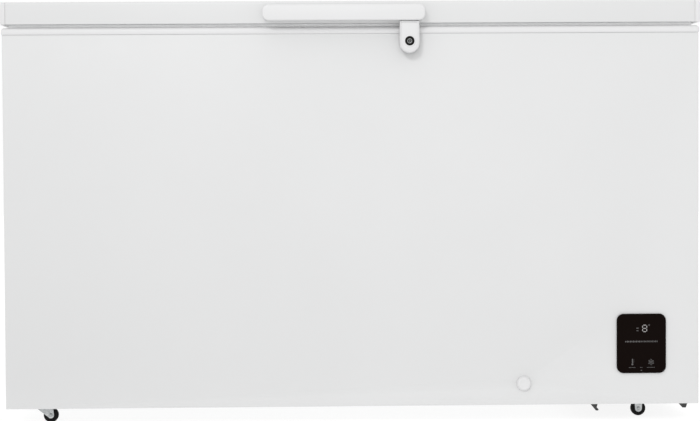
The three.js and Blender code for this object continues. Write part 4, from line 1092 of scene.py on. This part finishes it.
def caster_axle(place, body):
    """One axle: a rivet with a dished head at each end."""
    node = f"caster_axle_{place}"
    low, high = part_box(node)
    end = (high.y - low.y) / 2
    head = [
        (0.0, -end), (1.2 * MM, -end), (1.5 * MM, -end + 0.5 * MM), (2.2 * MM, -end + 0.45 * MM),
        (2.7 * MM, -end + 0.05 * MM), (3.2 * MM, -end + 0.3 * MM), (3.5 * MM, -end + 0.9 * MM),
        (3.5 * MM, -end + 1.4 * MM), (2.0 * MM, -end + 1.4 * MM),
    ]
    bm = bmesh.new()
    add_lathe(bm, head + mirrored(head), middle_of(f"caster_wheel_{place}"), (0, 1, 0), 32)
    finish_piece(bm, f"rivet_{place}", body, "zinc", [node])


def casters():
    """Four casters; the left pair swivels, so each has a plate of its own."""
    for row in ("front", "rear"):
        for side in ("left", "right"):
            place = f"{row}_{side}"
            swivels = side == "left"
            body = f"swivel_{place}" if swivels else "cabinet"
            caster_wheel(place)
            softened(f"caster_fork_{place}", f"fork_{place}", body, "zinc", 0.45 * MM, 2)
            caster_axle(place, body)
            if swivels:
                plate = f"caster_plate_{place}"
                softened(plate, f"caster_top_{place}", "cabinet", "zinc", 0.5 * MM, 2)


# ---- Basket ------------------------------------------------------------------------------------


def basket():
    """A hanging wire basket: heavy hoops at the top and bottom, fine wires between, hooked ends."""
    low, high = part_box("basket")
    heavy, fine = 2.3 * MM, 1.35 * MM
    middle_x = (low.x + high.x) / 2
    half_x = (high.x - low.x) / 2 - heavy
    body_half_y = 240 * MM - heavy
    top = 774 * MM - heavy
    bottom = low.z + heavy
    taper = 16 * MM
    corner = 26 * MM

    def hoop(height, inset):
        outline = rounded_outline(half_x - inset, body_half_y - inset, corner, 6)
        return [(middle_x + x, y, height) for x, y in outline]

    bm = bmesh.new()
    for share in (0.0, 0.34, 0.68, 1.0):
        height = top + (bottom - top) * share
        wire = heavy if share in (0.0, 1.0) else fine * 1.2
        add_tube(bm, hoop(height, taper * share), wire, 10, closed=True)

    def across_bay(x):
        """A fine wire from the top hoop's front, down, along the floor and up at the back."""
        foot_y = body_half_y - taper
        corners = [(x, -body_half_y, top), (x, -foot_y, bottom), (x, foot_y, bottom), (x, body_half_y, top)]
        return bent_points(corners, 14 * MM, 4)

    def along_bay(y):
        """A fine wire from the top hoop's left end, down, along the floor and up at the right end."""
        foot_x = half_x - taper
        corners = [
            (middle_x - half_x, y, top), (middle_x - foot_x, y, bottom),
            (middle_x + foot_x, y, bottom), (middle_x + half_x, y, top),
        ]
        return bent_points(corners, 14 * MM, 4)

    inside = half_x - taper - corner
    across = 8
    for k in range(across):
        x = middle_x - inside + 2 * inside * k / (across - 1)
        add_tube(bm, across_bay(x), fine, 8)
    inside = body_half_y - taper - corner
    along = 17
    for k in range(along):
        y = -inside + 2 * inside * k / (along - 1)
        add_tube(bm, along_bay(y), fine, 8)

    hook_y = high.y - heavy
    hook_z = high.z - heavy
    for side in (-1, 1):
        for x_sign in (-1, 1):
            x = middle_x + x_sign * (half_x - corner)
            wall_y = side * (body_half_y - 1 * MM)
            run = [(x, wall_y, top - 24 * MM), (x, wall_y, hook_z), (x, side * hook_y, hook_z)]
            add_tube(bm, bent_points(run, 5 * MM, 5), heavy * 0.8, 8)
        half_rail = half_x - corner * 0.4
        rail = [(middle_x - half_rail, side * hook_y, hook_z), (middle_x + half_rail, side * hook_y, hook_z)]
        add_tube(bm, rail, heavy * 0.9, 10)
    finish_piece(bm, "wire_basket", "basket", "vinyl", ["basket"], 60)


# ---- Machine compartment -----------------------------------------------------------------------


def machine():
    softened("compressor_housing", "compressor_can", "cabinet", "enamel", 0.8 * MM, 2)
    for place in ("front_left", "front_right", "rear_left", "rear_right"):
        softened(f"compressor_mount_{place}", f"grommet_{place}", "cabinet", "rubber", 0.5 * MM, 2)
    for node, material in (
        ("suction_line", "copper"), ("discharge_line", "copper"), ("filter_drier", "copper"),
        ("evaporator_tube", "copper"), ("condenser_tube", "enamel"),
        ("insulation_foam", "foam"), ("lid_foam", "foam"),
    ):
        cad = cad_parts[node]
        cad.data.materials.clear()
        cad.data.materials.append(materials[material])


# ---- Fasteners ---------------------------------------------------------------------------------


def fasteners():
    """Pan-head screws on the back, the hinges and the side vent."""
    bm = bmesh.new()
    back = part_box("rear_panel")[1].y
    low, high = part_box("rear_panel")
    for x in (-0.685, -0.34, 0.0, 0.34, 0.685):
        for z in (low.z + 12 * MM, high.z - 14 * MM):
            add_screw(bm, (x, back, z), (0, 1, 0), 3.6 * MM, 2.2 * MM)
    for x in (-0.685, 0.685):
        for z in (0.28, 0.53):
            add_screw(bm, (x, back, z), (0, 1, 0), 3.6 * MM, 2.2 * MM)
    for side in ("left", "right"):
        base_low, base_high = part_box(f"hinge_base_{side}")
        x = (base_low.x + base_high.x) / 2
        for dx, rise in ((-9, 16), (9, 16), (-9, 54), (9, 54), (0, 86)):
            place = (x + dx * MM, base_low.y + 2 * MM, base_low.z + rise * MM)
            add_screw(bm, place, (0, 1, 0), 3.8 * MM, 2.4 * MM)
    vent_low, vent_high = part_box("side_grille")
    for y in (vent_low.y + 5 * MM, vent_high.y - 5 * MM):
        for z in (vent_low.z + 5 * MM, vent_high.z - 5 * MM):
            add_screw(bm, (vent_high.x, y, z), (1, 0, 0), 2.6 * MM, 1.4 * MM)
    finish_piece(bm, "cabinet_screws", "cabinet", "zinc")

    bm = bmesh.new()
    for side in ("left", "right"):
        arm_low, arm_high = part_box(f"hinge_arm_{side}")
        x = (arm_low.x + arm_high.x) / 2
        for rise in (22, 40):
            place = (x, arm_low.y + 2 * MM, arm_low.z + rise * MM)
            add_screw(bm, place, (0, 1, 0), 3.6 * MM, 2.2 * MM)
    finish_piece(bm, "lid_screws", "lid", "zinc")


# ---- Scene -------------------------------------------------------------------------------------

add_camera()
add_surroundings()
add_floor()
cabinet_sheet()
rim()
liner()
panels()
grille()
lid_shell()
lid_tray()
seal()
grip()
lock()
control_panel()
drain()
hinges()
casters()
basket()
machine()
fasteners()
